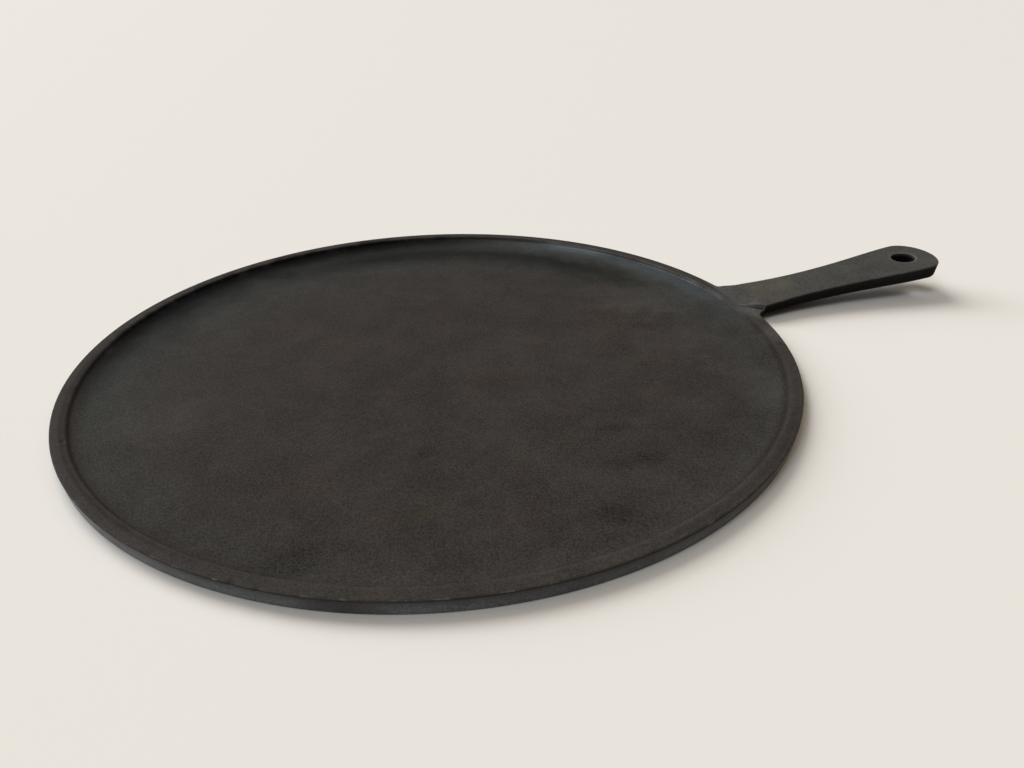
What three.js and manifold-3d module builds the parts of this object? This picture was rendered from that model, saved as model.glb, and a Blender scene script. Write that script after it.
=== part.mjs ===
/**
 * Cast iron crepe pan: a shallow round baking plate inside a low raised rim, with a short flat
 * handle cast on, waisted in the middle and pierced near its end to hang on a hook.
 *
 * The real pan is one casting. Here it is parted into the features of its pattern, which meet face
 * to face: the plate, the rim, the stretch of rim that carries the handle, the shank and the eye.
 *
 * Millimetres, +Z up. The origin is the centre of the flat underside, and the handle points to +X.
 */
import * as THREE from "three";
import { mergeVertices } from "three/addons/utils/BufferGeometryUtils.js";
import Module from "manifold-3d";

const wasm = await Module();
wasm.setup();

// Driving dimensions of the pan
const panRadius = 165; // over the outer edge of the rim
const plateThickness = 4;
const wellDepth = 2.4; // from the level top of the rim down to the plate
const bandWidth = 4.8; // the level top of the rim, with its outer rounding
const bandInnerRound = 2; // where the level top turns down into the well
const innerWallAngle = THREE.MathUtils.degToRad(55); // the short steep wall, from level
const coveRise = 0.9; // how far the cove has climbed where it meets the steep wall
const coveWidth = 6.8; // from the steep wall inwards to the flat of the plate
const lipOverhang = 0.35; // how far the top edge stands out over the outer wall
const lipHeight = 1.1; // from the level top down to the underside of that edge
const lipRound = 0.6;
const wallDraft = 0.25; // how much the outer wall draws in on its way down
const footRound = 0.6; // along the bottom edge of the outer wall

// Driving dimensions of the handle
const handleLength = 120; // from the rim's outer edge to the tip
const rootRise = 1.85; // how far the handle's top passes over the rim's outer edge
const handleRise = 9.12; // how far a straight handle would climb from the rim to the tip
const handleLift = 1.8; // what its upward curve adds to that
const rootHalfWidth = 16.3;
const waistHalfWidth = 12.6;
const waistReach = 39; // from the rim's outer edge to the narrowest place
const eyeHalfWidth = 17.2;
const eyeRound = 12; // length of the rounded end
const rootThickness = 6.3;
const tipThickness = 7.8;
const handleTopRound = 0.8;
const handleBottomRound = 1.6;
const handleDraft = 0.7; // how much each side draws in from top to bottom
const filletRadius = 9; // in plan, between the handle's side and the rim's outer wall
const webTopStep = 0.35; // how far the root fillets lie below the rim's level top
const rootBlend = 9; // the length in which the handle's top sinks to the rim's level top
const rootReach = 12; // from the rim's outer edge to the end of the root
const holeDiameter = 12.2;
const holeBevel = 1.1; // width of the bevelled mouth, on both faces
const holeBevelDepth = 0.5;
const holeToTip = 16.4; // from the centre of the hole to the tip
const shankToHole = 21; // from the end of the shank to the centre of the hole

// Where the curve from waist to eye has its handles, as shares of the way between them
const planShares = { waist: 0.45, eye: 0.75 };

// Fineness of the round forms
const circleSteps = 144;
const arcSteps = 4;
const coveSteps = 5;
const lengthSteps = 14;
const endSteps = 22;
const holeSteps = 36;
const searchSteps = 40;

// Finishes
const plateColour = 0x3b3734;
const rimColour = 0x423d3a;
const handleColour = 0x4d4b48;
const plateRoughness = 0.55;
const handleRoughness = 0.62;
const ironMetalness = 0.35;

/** Points of an arc about a centre, both ends included; angles in radians from the first axis. */
function arc(centreA, centreB, radius, from, to, steps) {
  return Array.from({ length: steps + 1 }, (_, i) => {
    const angle = from + ((to - from) * i) / steps;
    return [
      centreA + radius * Math.cos(angle),
      centreB + radius * Math.sin(angle),
    ];
  });
}

/** Value at a share of the way between two sizes. */
function between(from, to, share) {
  return from + (to - from) * share;
}

/** Eases from 0 to 1 with level ends. */
function ease(share) {
  const s = THREE.MathUtils.clamp(share, 0, 1);
  return s * s * (3 - 2 * s);
}

/** A closed BufferGeometry from points and triangles. */
function closedGeometry(points, triangles) {
  const geometry = new THREE.BufferGeometry();
  geometry.setAttribute(
    "position",
    new THREE.Float32BufferAttribute(points.flat(), 3),
  );
  geometry.setIndex(triangles.flat());
  return mergeVertices(geometry);
}

/** Triangles that fill an outline, given as indices with their flat coordinates. */
function fill(indices, outline, holes = [], holeIndices = []) {
  const flat = (pairs) => pairs.map(([a, b]) => new THREE.Vector2(a, b));
  const all = indices.concat(...holeIndices);
  return THREE.ShapeUtils.triangulateShape(flat(outline), holes.map(flat)).map(
    (face) => face.map((i) => all[i]),
  );
}

const turned = (triangles) => triangles.map(([a, b, c]) => [a, c, b]);

// The rim's section, anticlockwise in radius and height
const rimHeight = plateThickness + wellDepth;
const bandInner = panRadius - bandWidth;
const roundEnd = {
  r: bandInner - bandInnerRound * Math.sin(innerWallAngle),
  z: rimHeight - bandInnerRound * (1 - Math.cos(innerWallAngle)),
};
const creaseHeight = plateThickness + coveRise;
const creaseRadius =
  roundEnd.r - (roundEnd.z - creaseHeight) / Math.tan(innerWallAngle);
const plateRadius = creaseRadius - coveWidth;
const coveRadius = (coveWidth ** 2 + coveRise ** 2) / (2 * coveRise);
const wallTop = panRadius - lipOverhang;
const footRadius = wallTop - wallDraft;

function rimSection() {
  const quarter = Math.PI / 2;
  const coveSweep = Math.asin(coveWidth / coveRadius);
  return [
    [plateRadius, 0],
    ...arc(footRadius - footRound, footRound, footRound, -quarter, 0, arcSteps),
    [wallTop, rimHeight - lipHeight],
    [panRadius, rimHeight - lipHeight + lipOverhang],
    ...arc(
      panRadius - lipRound,
      rimHeight - lipRound,
      lipRound,
      0,
      quarter,
      arcSteps,
    ),
    ...arc(
      bandInner,
      rimHeight - bandInnerRound,
      bandInnerRound,
      quarter,
      quarter + innerWallAngle,
      arcSteps,
    ),
    ...arc(
      plateRadius,
      plateThickness + coveRadius,
      coveRadius,
      coveSweep - quarter,
      -quarter,
      coveSteps,
    ),
  ];
}

/** A stretch of a ring: the section swept about Z from one step of the circle to another. */
function ringStretch(section, firstStep, lastStep) {
  const points = [];
  const triangles = [];
  const count = section.length;
  for (let step = firstStep; step <= lastStep; step++) {
    const angle = (2 * Math.PI * step) / circleSteps;
    section.forEach(([r, z]) =>
      points.push([r * Math.cos(angle), r * Math.sin(angle), z]),
    );
  }
  for (let step = 0; step < lastStep - firstStep; step++) {
    for (let i = 0; i < count; i++) {
      const j = (i + 1) % count;
      const near = step * count;
      const far = near + count;
      triangles.push([near + i, far + i, far + j], [near + i, far + j, near + j]);
    }
  }
  const first = section.map((_, i) => i);
  const last = first.map((i) => i + (lastStep - firstStep) * count);
  triangles.push(...fill(first, section), ...turned(fill(last, section)));
  return closedGeometry(points, triangles);
}

/** The plate: a disc whose side has the same facets as the inside of the ring. */
function plateGeometry() {
  const rings = [0, plateThickness];
  const points = rings.map((z) => [0, 0, z]);
  const triangles = [];
  rings.forEach((z) => {
    for (let step = 0; step < circleSteps; step++) {
      const angle = (2 * Math.PI * step) / circleSteps;
      points.push([
        plateRadius * Math.cos(angle),
        plateRadius * Math.sin(angle),
        z,
      ]);
    }
  });
  for (let step = 0; step < circleSteps; step++) {
    const next = (step + 1) % circleSteps;
    const [a, b] = [rings.length + step, rings.length + next];
    const [c, d] = [a + circleSteps, b + circleSteps];
    triangles.push([0, b, a], [1, c, d], [a, b, d], [a, d, c]);
  }
  return closedGeometry(points, triangles);
}

// The handle's plan, rise and thickness, as functions of the distance along +X
const tip = panRadius + handleLength;
const eyeCentre = tip - eyeRound;
const rootEnd = panRadius + rootReach;
const holeCentre = tip - holeToTip;
const shankEnd = holeCentre - shankToHole;
const waist = panRadius + waistReach;
const rootTopHeight = rimHeight + rootRise;
const rootBlendStart = bandInner + lipRound;

// The root fillets, and the steps of the circle on each side of +X that the root takes up
const webTop = rimHeight - webTopStep;
const webReach = rootHalfWidth + filletRadius;
const webStart = Math.sqrt(panRadius ** 2 - webReach ** 2) - lipRound;
const webTangent = webStart + lipRound + filletRadius;
const rootSteps = Math.ceil(
  (circleSteps * Math.atan2(webReach, webStart)) / (2 * Math.PI),
);

const planCurve = new THREE.CubicBezierCurve(
  new THREE.Vector2(waist, waistHalfWidth),
  new THREE.Vector2(between(waist, eyeCentre, planShares.waist), waistHalfWidth),
  new THREE.Vector2(between(waist, eyeCentre, planShares.eye), eyeHalfWidth),
  new THREE.Vector2(eyeCentre, eyeHalfWidth),
);

/** Half the handle's width at a place along it, before the rounded end. */
function halfWidth(x) {
  if (x <= waist) {
    return between(waistHalfWidth, rootHalfWidth, ((waist - x) / waistReach) ** 2);
  }
  let low = 0;
  let high = 1;
  for (let i = 0; i < searchSteps; i++) {
    const middle = (low + high) / 2;
    if (planCurve.getPoint(middle).x < x) low = middle;
    else high = middle;
  }
  return planCurve.getPoint(low).y;
}

/** Height of the handle's top face, which sinks to the rim's level top over the root. */
function topHeight(x) {
  const way = (x - panRadius) / handleLength;
  const rise = handleRise * way + handleLift * way ** 2;
  const share = ease((x - rootBlendStart) / rootBlend);
  return between(webTop, rootTopHeight + rise, share);
}

function thickness(x) {
  return between(rootThickness, tipThickness, (x - panRadius) / handleLength);
}

/** Inset from the side and depth below the top, round a section's side from top to bottom. */
function sideLevels(topRound, bottomRound, draft, depth) {
  const quarter = Math.PI / 2;
  const bottomInset = bottomRound + draft;
  const bottomDepth = depth - bottomRound;
  return [
    ...arc(topRound, topRound, topRound, -quarter, -2 * quarter, arcSteps),
    ...arc(bottomInset, bottomDepth, bottomRound, 2 * quarter, quarter, arcSteps),
  ];
}

const handleLevels = (x) =>
  sideLevels(handleTopRound, handleBottomRound, handleDraft, thickness(x));

/** A bar along +X from closed upright sections that share one count of points. */
function loft(sections) {
  const count = sections[0].length;
  const triangles = [];
  for (let s = 0; s < sections.length - 1; s++) {
    for (let i = 0; i < count; i++) {
      const j = (i + 1) % count;
      const near = s * count;
      const far = near + count;
      triangles.push([near + i, far + j, near + j], [near + i, far + i, far + j]);
    }
  }
  const capOf = (s) =>
    fill(
      sections[s].map((_, i) => s * count + i),
      sections[s].map(([, y, z]) => [y, z]),
    );
  triangles.push(...turned(capOf(0)), ...capOf(sections.length - 1));
  return closedGeometry(sections.flat(), triangles);
}

/** One upright section across the handle, clockwise seen from its tip. */
function crossSection(x, half, top, levels) {
  const left = levels.map(([inset, depth]) => [x, half - inset, top - depth]);
  const right = levels.map(([inset, depth]) => [x, inset - half, top - depth]);
  return [...left, ...right.reverse()];
}

const handleSection = (x) =>
  crossSection(x, halfWidth(x), topHeight(x), handleLevels(x));

function stations(from, to, steps) {
  return Array.from({ length: steps + 1 }, (_, i) => between(from, to, i / steps));
}

function solid(geometry) {
  return new wasm.Manifold(
    new wasm.Mesh({
      numProp: 3,
      vertProperties: new Float32Array(geometry.attributes.position.array),
      triVerts: new Uint32Array(geometry.index.array),
    }),
  );
}

function geometryOf(body) {
  const mesh = body.getMesh();
  const geometry = new THREE.BufferGeometry();
  geometry.setAttribute(
    "position",
    new THREE.BufferAttribute(mesh.vertProperties, mesh.numProp),
  );
  geometry.setIndex(new THREE.BufferAttribute(mesh.triVerts, 1));
  return geometry;
}

/** The root fillets: a web as high as the rim, which widens towards the rim's outer wall. */
function webGeometry() {
  const depth = webTop - (rootTopHeight - rootThickness);
  const levels = sideLevels(lipRound, footRound, 0, depth);
  const half = halfWidth(webTangent) - handleDraft;
  const sections = stations(webStart, webTangent, lengthSteps).map((x) => {
    const reach = Math.min(webTangent - x, filletRadius);
    const flare = filletRadius - Math.sqrt(filletRadius ** 2 - reach ** 2);
    return crossSection(x, half + flare, webTop, levels);
  });
  return loft(sections);
}

function rootGeometry() {
  const rimPiece = solid(ringStretch(rimSection(), -rootSteps, rootSteps));
  const bar = solid(
    loft(stations(rootBlendStart, rootEnd, lengthSteps).map(handleSection)),
  );
  return geometryOf(rimPiece.add(solid(webGeometry())).add(bar));
}

function shankGeometry() {
  return loft(stations(rootEnd, shankEnd, lengthSteps).map(handleSection));
}

/** The eye's outline in plan, drawn in by an inset everywhere but at its straight cut end. */
function eyeOutline(inset) {
  const side = stations(shankEnd, eyeCentre, lengthSteps).map((x) => [
    x,
    halfWidth(x) - inset,
  ]);
  const end = stations(1, -1, endSteps).map((share) => {
    const angle = (share * Math.PI) / 2;
    return [
      eyeCentre + (eyeRound - inset) * Math.cos(angle),
      (eyeHalfWidth - inset) * Math.sin(angle),
    ];
  });
  const mirrored = side.map(([x, y]) => [x, -y]);
  return [...mirrored, ...end.slice(1, -1).reverse(), ...side.reverse()];
}

/** The eye: outlines stacked from the top face to the underside, with the hole left open. */
function eyeGeometry() {
  const points = [];
  const triangles = [];
  const loop = (outline, depthAt) => {
    const first = points.length;
    outline.forEach(([x, y]) => points.push([x, y, topHeight(x) - depthAt(x)]));
    return outline.map((_, i) => first + i);
  };
  const walls = (loops) =>
    loops.slice(1).forEach((lower, k) =>
      lower.forEach((_, i) => {
        const j = (i + 1) % lower.length;
        const upper = loops[k];
        triangles.push([upper[i], lower[i], lower[j]], [upper[i], lower[j], upper[j]]);
      }),
    );
  const outer = handleLevels(eyeCentre).map(([inset], level) =>
    loop(eyeOutline(inset), (x) => handleLevels(x)[level][1]),
  );
  const circle = (radius) =>
    arc(holeCentre, 0, radius, 2 * Math.PI, 0, holeSteps).slice(0, holeSteps);
  const mouth = circle(holeDiameter / 2 + holeBevel);
  const bore = circle(holeDiameter / 2);
  const hole = [
    loop(mouth, () => 0),
    loop(bore, () => holeBevelDepth),
    loop(bore, (x) => thickness(x) - holeBevelDepth),
    loop(mouth, thickness),
  ];
  walls(outer);
  walls(hole);

  const flat = (indices) => indices.map((i) => points[i].slice(0, 2));
  const face = (rim, mouthLoop) => fill(rim, flat(rim), [flat(mouthLoop)], [mouthLoop]);
  triangles.push(...face(outer[0], hole[0]));
  triangles.push(...turned(face(outer.at(-1), hole.at(-1))));
  return closedGeometry(points, triangles);
}

const iron = (name, color, roughness) =>
  new THREE.MeshStandardMaterial({ name, color, roughness, metalness: ironMetalness });

const plateIron = iron("seasoned_plate_iron", plateColour, plateRoughness);
const rimIron = iron("worn_rim_iron", rimColour, plateRoughness);
const handleIron = iron("handle_iron", handleColour, handleRoughness);

const pan = new THREE.Group();

function place(name, geometry, material) {
  const mesh = new THREE.Mesh(geometry, material);
  mesh.name = name;
  geometry.computeVertexNormals();
  pan.add(mesh);
}

place("baking_plate", plateGeometry(), plateIron);
place(
  "raised_rim",
  ringStretch(rimSection(), rootSteps, circleSteps - rootSteps),
  rimIron,
);
place("handle_root", rootGeometry(), handleIron);
place("handle_shank", shankGeometry(), handleIron);
place("hanging_eye", eyeGeometry(), handleIron);

export default pan;
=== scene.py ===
"""Cast iron crepe pan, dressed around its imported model.

A shallow round pan with a low raised rim and a short flat handle, cast in one. Here it is parted
into the plate, the rim, the handle's root, its shank and its eye, and their faces run on from each
other without a step. They carry the skin of an old sand casting: a fine grain, brown and grey
seasoning, worn edges, and the marks of long use.

Metres, +Z up, the handle along +X.
"""

import logging
import math
from dataclasses import dataclass
from dataclasses import field
from enum import Enum
from typing import Callable
from typing import ClassVar

import bmesh
import bpy
import numpy as np
from mathutils import Matrix
from mathutils import Vector
from mathutils.geometry import delaunay_2d_cdt


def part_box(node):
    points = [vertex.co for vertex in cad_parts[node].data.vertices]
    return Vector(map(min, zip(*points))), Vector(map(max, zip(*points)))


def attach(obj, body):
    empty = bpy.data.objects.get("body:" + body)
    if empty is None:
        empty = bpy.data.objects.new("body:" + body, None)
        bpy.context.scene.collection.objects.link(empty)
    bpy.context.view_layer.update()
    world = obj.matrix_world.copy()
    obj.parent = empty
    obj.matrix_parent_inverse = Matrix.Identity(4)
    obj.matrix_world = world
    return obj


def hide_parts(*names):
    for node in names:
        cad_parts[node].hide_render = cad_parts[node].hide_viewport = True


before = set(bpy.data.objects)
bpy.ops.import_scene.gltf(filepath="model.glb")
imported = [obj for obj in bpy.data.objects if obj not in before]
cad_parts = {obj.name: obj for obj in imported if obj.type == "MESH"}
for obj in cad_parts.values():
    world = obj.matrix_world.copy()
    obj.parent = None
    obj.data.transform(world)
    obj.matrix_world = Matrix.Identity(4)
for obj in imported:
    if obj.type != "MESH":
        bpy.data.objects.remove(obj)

LOG = logging.getLogger("crepe_pan")

MM = 0.001
QUARTER = math.pi / 2
BODY = "root"
SEAM_ANGLE = math.radians(50)

Colour = tuple[float, float, float]
Place = tuple[float, float, float]
Span = tuple[float, float]
Heights = Callable[[np.ndarray], np.ndarray]
Feed = object


class Node(Enum):
    """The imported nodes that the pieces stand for."""

    PLATE = "baking_plate"
    RIM = "raised_rim"
    ROOT = "handle_root"
    SHANK = "handle_shank"
    EYE = "hanging_eye"


class Slot(Enum):
    """The record's material slots."""

    PLATE = "seasoned_plate_iron"
    RIM = "worn_rim_iron"
    HANDLE = "handle_iron"


class Layer(Enum):
    """Values that the meshes carry at each vertex for the skin and the finishes."""

    OUT = "skin_out"
    WEAR = "edge_wear"
    # Painted shade: how dark the finish is painted in creases, under overhangs, at the feet of edges, on the
    # handle's sides and in the hole, with a faint darkening over the cove
    GRIME = "grime"


def linear(colour: Colour) -> tuple[float, float, float, float]:
    """Turns a display colour into the linear one that a shader takes.

    Args:
        colour: Red, green and blue as displayed, from 0 to 255.

    Returns:
        Linear red, green and blue, and an alpha of 1.
    """
    shares = [part / 255 for part in colour]
    values = [s / 12.92 if s <= 0.04045 else ((s + 0.055) / 1.055) ** 2.4 for s in shares]
    return (*values, 1.0)


def ease(share: np.ndarray | float) -> np.ndarray:
    """Eases from 0 to 1 with level ends, for a share of the way."""
    s = np.clip(share, 0.0, 1.0)
    return s * s * (3 - 2 * s)


def between(start: np.ndarray | float, end: np.ndarray | float, share: np.ndarray | float) -> np.ndarray:
    """Gives the value at a share of the way from start to end."""
    return start + (end - start) * share


def hump(distance: np.ndarray, width: float) -> np.ndarray:
    """A soft bump of height 1 about distance 0, about two widths wide."""
    return np.exp(-((distance / width) ** 2))


def rays(turns: np.ndarray) -> np.ndarray:
    """Directions in plan at these angles from +X."""
    return np.column_stack([np.cos(turns), np.sin(turns)])


# Driving sizes that the frame doesn't hold, and the forms that follow from them

ROUND_STEPS = 5
WALL_STEPS = 3
FOOT_STEPS = 4
TOP_SHARES = np.linspace(0, 1, ROUND_STEPS + 1)
FOOT_SHARES = np.linspace(0, 1, FOOT_STEPS + 1)
WALL_SHARES = np.arange(1, WALL_STEPS + 1) / (WALL_STEPS + 1)
EDGE_VALUES = ("inset", "fall", "tilt", "wear", "grime")


@dataclass(frozen=True)
class EdgeLevels:
    """An edge of the casting, level by level from its top face down to its underside."""

    inset: np.ndarray
    fall: np.ndarray
    tilt: np.ndarray
    wear: np.ndarray
    grime: np.ndarray

    def toward(self, other: "EdgeLevels", share: float) -> "EdgeLevels":
        """Blends this edge with another one, which a share of 1 gives."""
        return EdgeLevels(*[between(getattr(self, n), getattr(other, n), share) for n in EDGE_VALUES])


@dataclass(frozen=True)
class EdgeForm:
    """How an edge is rounded, drawn in, worn and darkened with painted shade, with a lip over its wall if it
    overhangs.
    """

    depth: float
    top_round: float
    foot_round: float
    draft: float
    wear: float
    wall_grime: float
    overhang: float = 0.0
    overhang_depth: float = 0.0
    overhang_grime: float = 0.0
    turned_wear: float = 0.3
    level_wear: float = 0.25
    wall_wear: float = 0.1
    foot_wear: float = 0.2
    # Painted shade on the rounding at the foot of an edge
    foot_grime: float = 0.5

    def levels(self) -> EdgeLevels:
        """Works out the levels.

        Returns:
            Inset from the outline, share of the depth, tilt of the face, wear and painted shade at each
            level.
        """
        turn = TOP_SHARES * QUARTER
        foot = FOOT_SHARES * QUARTER
        wall_depths = between(self.top_round, self.depth - self.foot_round, WALL_SHARES)
        wall_insets = self.overhang + self.draft * WALL_SHARES
        wall_shades = np.full(WALL_STEPS, self.wall_grime)
        if self.overhang:
            wall_depths[:2] = self.overhang_depth - self.overhang, self.overhang_depth
            wall_insets[:2] = 0.0, self.overhang
            wall_shades[1] = self.overhang_grime
        foot_insets = self.overhang + self.draft + self.foot_round * (1 - np.cos(foot))
        foot_depths = self.depth - self.foot_round * (1 - np.sin(foot))
        top_wear = np.sin(turn * 2) ** 0.5 * (1 - self.turned_wear * TOP_SHARES) + self.level_wear
        wears = [top_wear, self.wall_wear * (1 - WALL_SHARES), self.foot_wear * FOOT_SHARES]
        foot_shades = between(self.wall_grime, self.foot_grime, FOOT_SHARES)
        return EdgeLevels(
            np.concatenate([self.top_round * (1 - np.sin(turn)), wall_insets, foot_insets]),
            np.concatenate([self.top_round * (1 - np.cos(turn)), wall_depths, foot_depths]) / self.depth,
            np.concatenate([QUARTER - turn, 0 * WALL_SHARES, -foot]),
            np.concatenate(wears) * self.wear,
            np.concatenate([self.wall_grime * TOP_SHARES**3, wall_shades, foot_shades]),
        )


@dataclass(frozen=True)
class RimForm:
    """The rim's section: level band, short steep inner wall, wide shallow cove, outer wall."""

    outer_radius: float = -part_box(Node.RIM.value)[0].x
    inner_radius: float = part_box(Node.PLATE.value)[1].x
    plate_height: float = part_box(Node.PLATE.value)[1].z
    height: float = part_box(Node.RIM.value)[1].z
    band_width: float = 4.8 * MM
    band_inner_round: float = 2.0 * MM
    inner_wall_angle: float = math.radians(55)
    cove_rise: float = 0.9 * MM
    crease_round: float = 0.7 * MM
    lip_overhang: float = 0.35 * MM
    lip_height: float = 1.1 * MM
    lip_round: float = 0.6 * MM
    wall_draft: float = 0.25 * MM
    foot_round: float = 0.6 * MM
    edge_wear: float = 0.8
    band_wear: float = 0.28
    inner_edge_wear: float = 0.55
    outer_edge_wear: float = 0.5
    wall_grime: float = 0.0
    # Painted shade on the wall under the lip's overhang
    lip_grime: float = 0.75
    # Painted shade in the crease at the foot of the inner wall
    crease_grime: float = 0.25
    cove_grime: float = 0.08
    band_steps: int = 6
    round_steps: int = 7
    crease_steps: int = 4
    cove_steps: int = 10

    @property
    def band_inner(self) -> float:
        """Radius where the level band starts to turn down into the well."""
        return self.outer_radius - self.band_width

    @property
    def band_outer(self) -> float:
        """Radius where the level band starts to turn down over the lip."""
        return self.outer_radius - self.lip_round

    @property
    def foot_radius(self) -> float:
        """Radius of the outer wall at its foot."""
        return self.outer_radius - self.lip_overhang - self.wall_draft

    @property
    def underside_radius(self) -> float:
        """Radius of the flat underside."""
        return self.foot_radius - self.foot_round

    def outer_edge(self) -> EdgeLevels:
        """Works out the rim's outer edge, from its band down to its underside.

        Returns:
            The edge.
        """
        lip = (self.lip_overhang, self.lip_height, self.lip_grime)
        edge = (self.lip_round, self.foot_round, self.wall_draft, self.edge_wear, self.wall_grime)
        return EdgeForm(self.height, *edge, *lip).levels()

    def top_points(self) -> np.ndarray:
        """Draws the top side.

        Returns:
            Its radius and height, from the outer edge inwards to the plate.
        """
        band = np.linspace(self.band_outer, self.band_inner, self.band_steps + 1)[:-1]
        turn = np.linspace(0, self.inner_wall_angle, self.round_steps + 1)
        rounded = np.column_stack(
            [
                self.band_inner - self.band_inner_round * np.sin(turn),
                self.height - self.band_inner_round * (1 - np.cos(turn)),
            ]
        )
        down = np.array([math.cos(self.inner_wall_angle), math.sin(self.inner_wall_angle)])
        fall = rounded[-1, 1] - self.plate_height - self.cove_rise
        crease = rounded[-1] - fall * down / down[1]
        cove_width = crease[0] - self.inner_radius
        bow = (cove_width**2 + self.cove_rise**2) / (2 * self.cove_rise)
        above = crease + self.crease_round * down
        radii = np.linspace(crease[0] - self.crease_round, self.inner_radius, self.cove_steps + 1)
        arc = self.plate_height + bow - np.sqrt(bow**2 - (radii - self.inner_radius) ** 2)
        cove = np.column_stack([radii, arc])
        shares = np.linspace(0, 1, self.crease_steps + 1)[:, None]
        bend = between(between(above, crease, shares), between(crease, cove[0], shares), shares)
        band_points = np.column_stack([band, np.full_like(band, self.height)])
        return np.concatenate([band_points, rounded, bend, cove[1:]])

    def top_height(self, radius: np.ndarray) -> np.ndarray:
        """Height of the top side at a radius, level past the band's outer edge."""
        points = self.top_points()[::-1]
        return np.interp(radius, points[:, 0], points[:, 1])

    def top_wear(self, radius: np.ndarray) -> np.ndarray:
        """Works out how worn the top side is.

        Args:
            radius: The radii that it is wanted at.

        Returns:
            The wear, from 0 to 1, most on the band's two edges.
        """
        turned = self.band_inner - self.band_inner_round / 3
        band = self.band_wear * ease((radius - turned) / self.band_inner_round)
        inner_edge = self.inner_edge_wear * hump(radius - turned, self.band_inner_round / 2)
        outer_edge = self.outer_edge_wear * hump(radius - self.band_outer, self.lip_round)
        return self.edge_wear * np.clip(band + inner_edge + outer_edge, 0, 1)

    def top_grime(self, radius: np.ndarray) -> np.ndarray:
        """Works out the painted shade in the crease, and a darkening over the cove.

        Args:
            radius: The radii that it is wanted at.

        Returns:
            The darkness, from 0 to 1.
        """
        crease = self.top_points()[self.band_steps + self.round_steps + self.crease_steps // 2, 0]
        line = hump(radius - crease - self.crease_round / 2, self.crease_round)
        cove = hump(radius - crease, (crease - self.inner_radius) / 2) * (radius < crease)
        return np.clip(self.crease_grime * line + self.cove_grime * cove, 0, 1)


@dataclass(frozen=True)
class HandleForm:
    """The handle's plan, rise and thickness along +X, and its edge."""

    rim: RimForm
    tip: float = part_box(Node.EYE.value)[1].x
    root_end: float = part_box(Node.ROOT.value)[1].x
    shank_end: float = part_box(Node.SHANK.value)[1].x
    eye_half_width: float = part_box(Node.EYE.value)[1].y
    root_rise: float = 1.85 * MM
    straight_rise: float = 9.12 * MM
    curved_rise: float = 1.8 * MM
    root_half_width: float = 16.3 * MM
    waist_half_width: float = 12.6 * MM
    waist_reach: float = 39 * MM
    eye_round: float = 12 * MM
    root_thickness: float = 6.3 * MM
    tip_thickness: float = 7.8 * MM
    top_round: float = 0.8 * MM
    bottom_round: float = 1.6 * MM
    draft: float = 0.7 * MM
    edge_wear: float = 0.8
    # Painted shade on the handle's sides, a little lighter toward the tip
    wall_grime: float = 1.0
    tip_grime: float = 0.88
    waist_share: float = 0.45
    eye_share: float = 0.75
    curve_steps: int = 400

    @property
    def eye_centre(self) -> float:
        """Where the sides end and the rounded end starts."""
        return self.tip - self.eye_round

    def way(self, x: np.ndarray | float) -> np.ndarray | float:
        """Share of the way from the rim's outer edge to the tip."""
        return (x - self.rim.outer_radius) / (self.tip - self.rim.outer_radius)

    def half_width(self, x: np.ndarray) -> np.ndarray:
        """Works out half the handle's width.

        Args:
            x: Places along the handle.

        Returns:
            Half the width there: it narrows to the waist, and a curve widens it to the eye.
        """
        waist = self.rim.outer_radius + self.waist_reach
        share = np.clip((waist - x) / self.waist_reach, 0, None)
        before = between(self.waist_half_width, self.root_half_width, share**2)
        t = np.linspace(0, 1, self.curve_steps)
        weights = [(1 - t) ** 3, 3 * t * (1 - t) ** 2, 3 * t**2 * (1 - t), t**3]
        shares = (0, self.waist_share, self.eye_share, 1)
        along = sum(w * between(waist, self.eye_centre, s) for w, s in zip(weights, shares))
        narrow = weights[0] + weights[1]
        across = narrow * self.waist_half_width + (1 - narrow) * self.eye_half_width
        return np.where(x <= waist, before, np.interp(x, along, across))

    def thickness(self, x: np.ndarray | float) -> np.ndarray | float:
        """Thickness at places along the handle."""
        return between(self.root_thickness, self.tip_thickness, self.way(x))

    def top(self, plan: np.ndarray) -> np.ndarray:
        """Height of the top face at places in plan."""
        way = self.way(plan[..., 0])
        return self.rim.height + self.root_rise + self.straight_rise * way + self.curved_rise * way**2

    def underside(self, plan: np.ndarray) -> np.ndarray:
        """Height of the underside at places in plan."""
        return self.top(plan) - self.thickness(plan[..., 0])

    def edge(self, x: float) -> EdgeLevels:
        """The handle's edge at a place along it."""
        looks = (self.edge_wear, between(self.wall_grime, self.tip_grime, self.way(x)))
        return EdgeForm(self.thickness(x), self.top_round, self.bottom_round, self.draft, *looks).levels()


# Wiring of node trees

FLOAT = "NodeSocketFloat"
VECTOR = "NodeSocketVector"
INT = "NodeSocketInt"
BOOL = "NodeSocketBool"
GEOMETRY = "NodeSocketGeometry"
MATERIAL = "NodeSocketMaterial"
NUMBER_SUMS = ("LENGTH", "DISTANCE", "DOT_PRODUCT")

# Sockets of a mixing node that take the colour below and the one above, and give the mixed one
UNDER = 6
OVER = 7
MIXED = 2


@dataclass(frozen=True)
class Cloud:
    """A noise: how large its features are, in metres or as a share, and how broken and bent."""

    size: float = 1.0
    detail: float = 2.0
    rough: float = 0.5
    bend: float = 0.0


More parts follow.
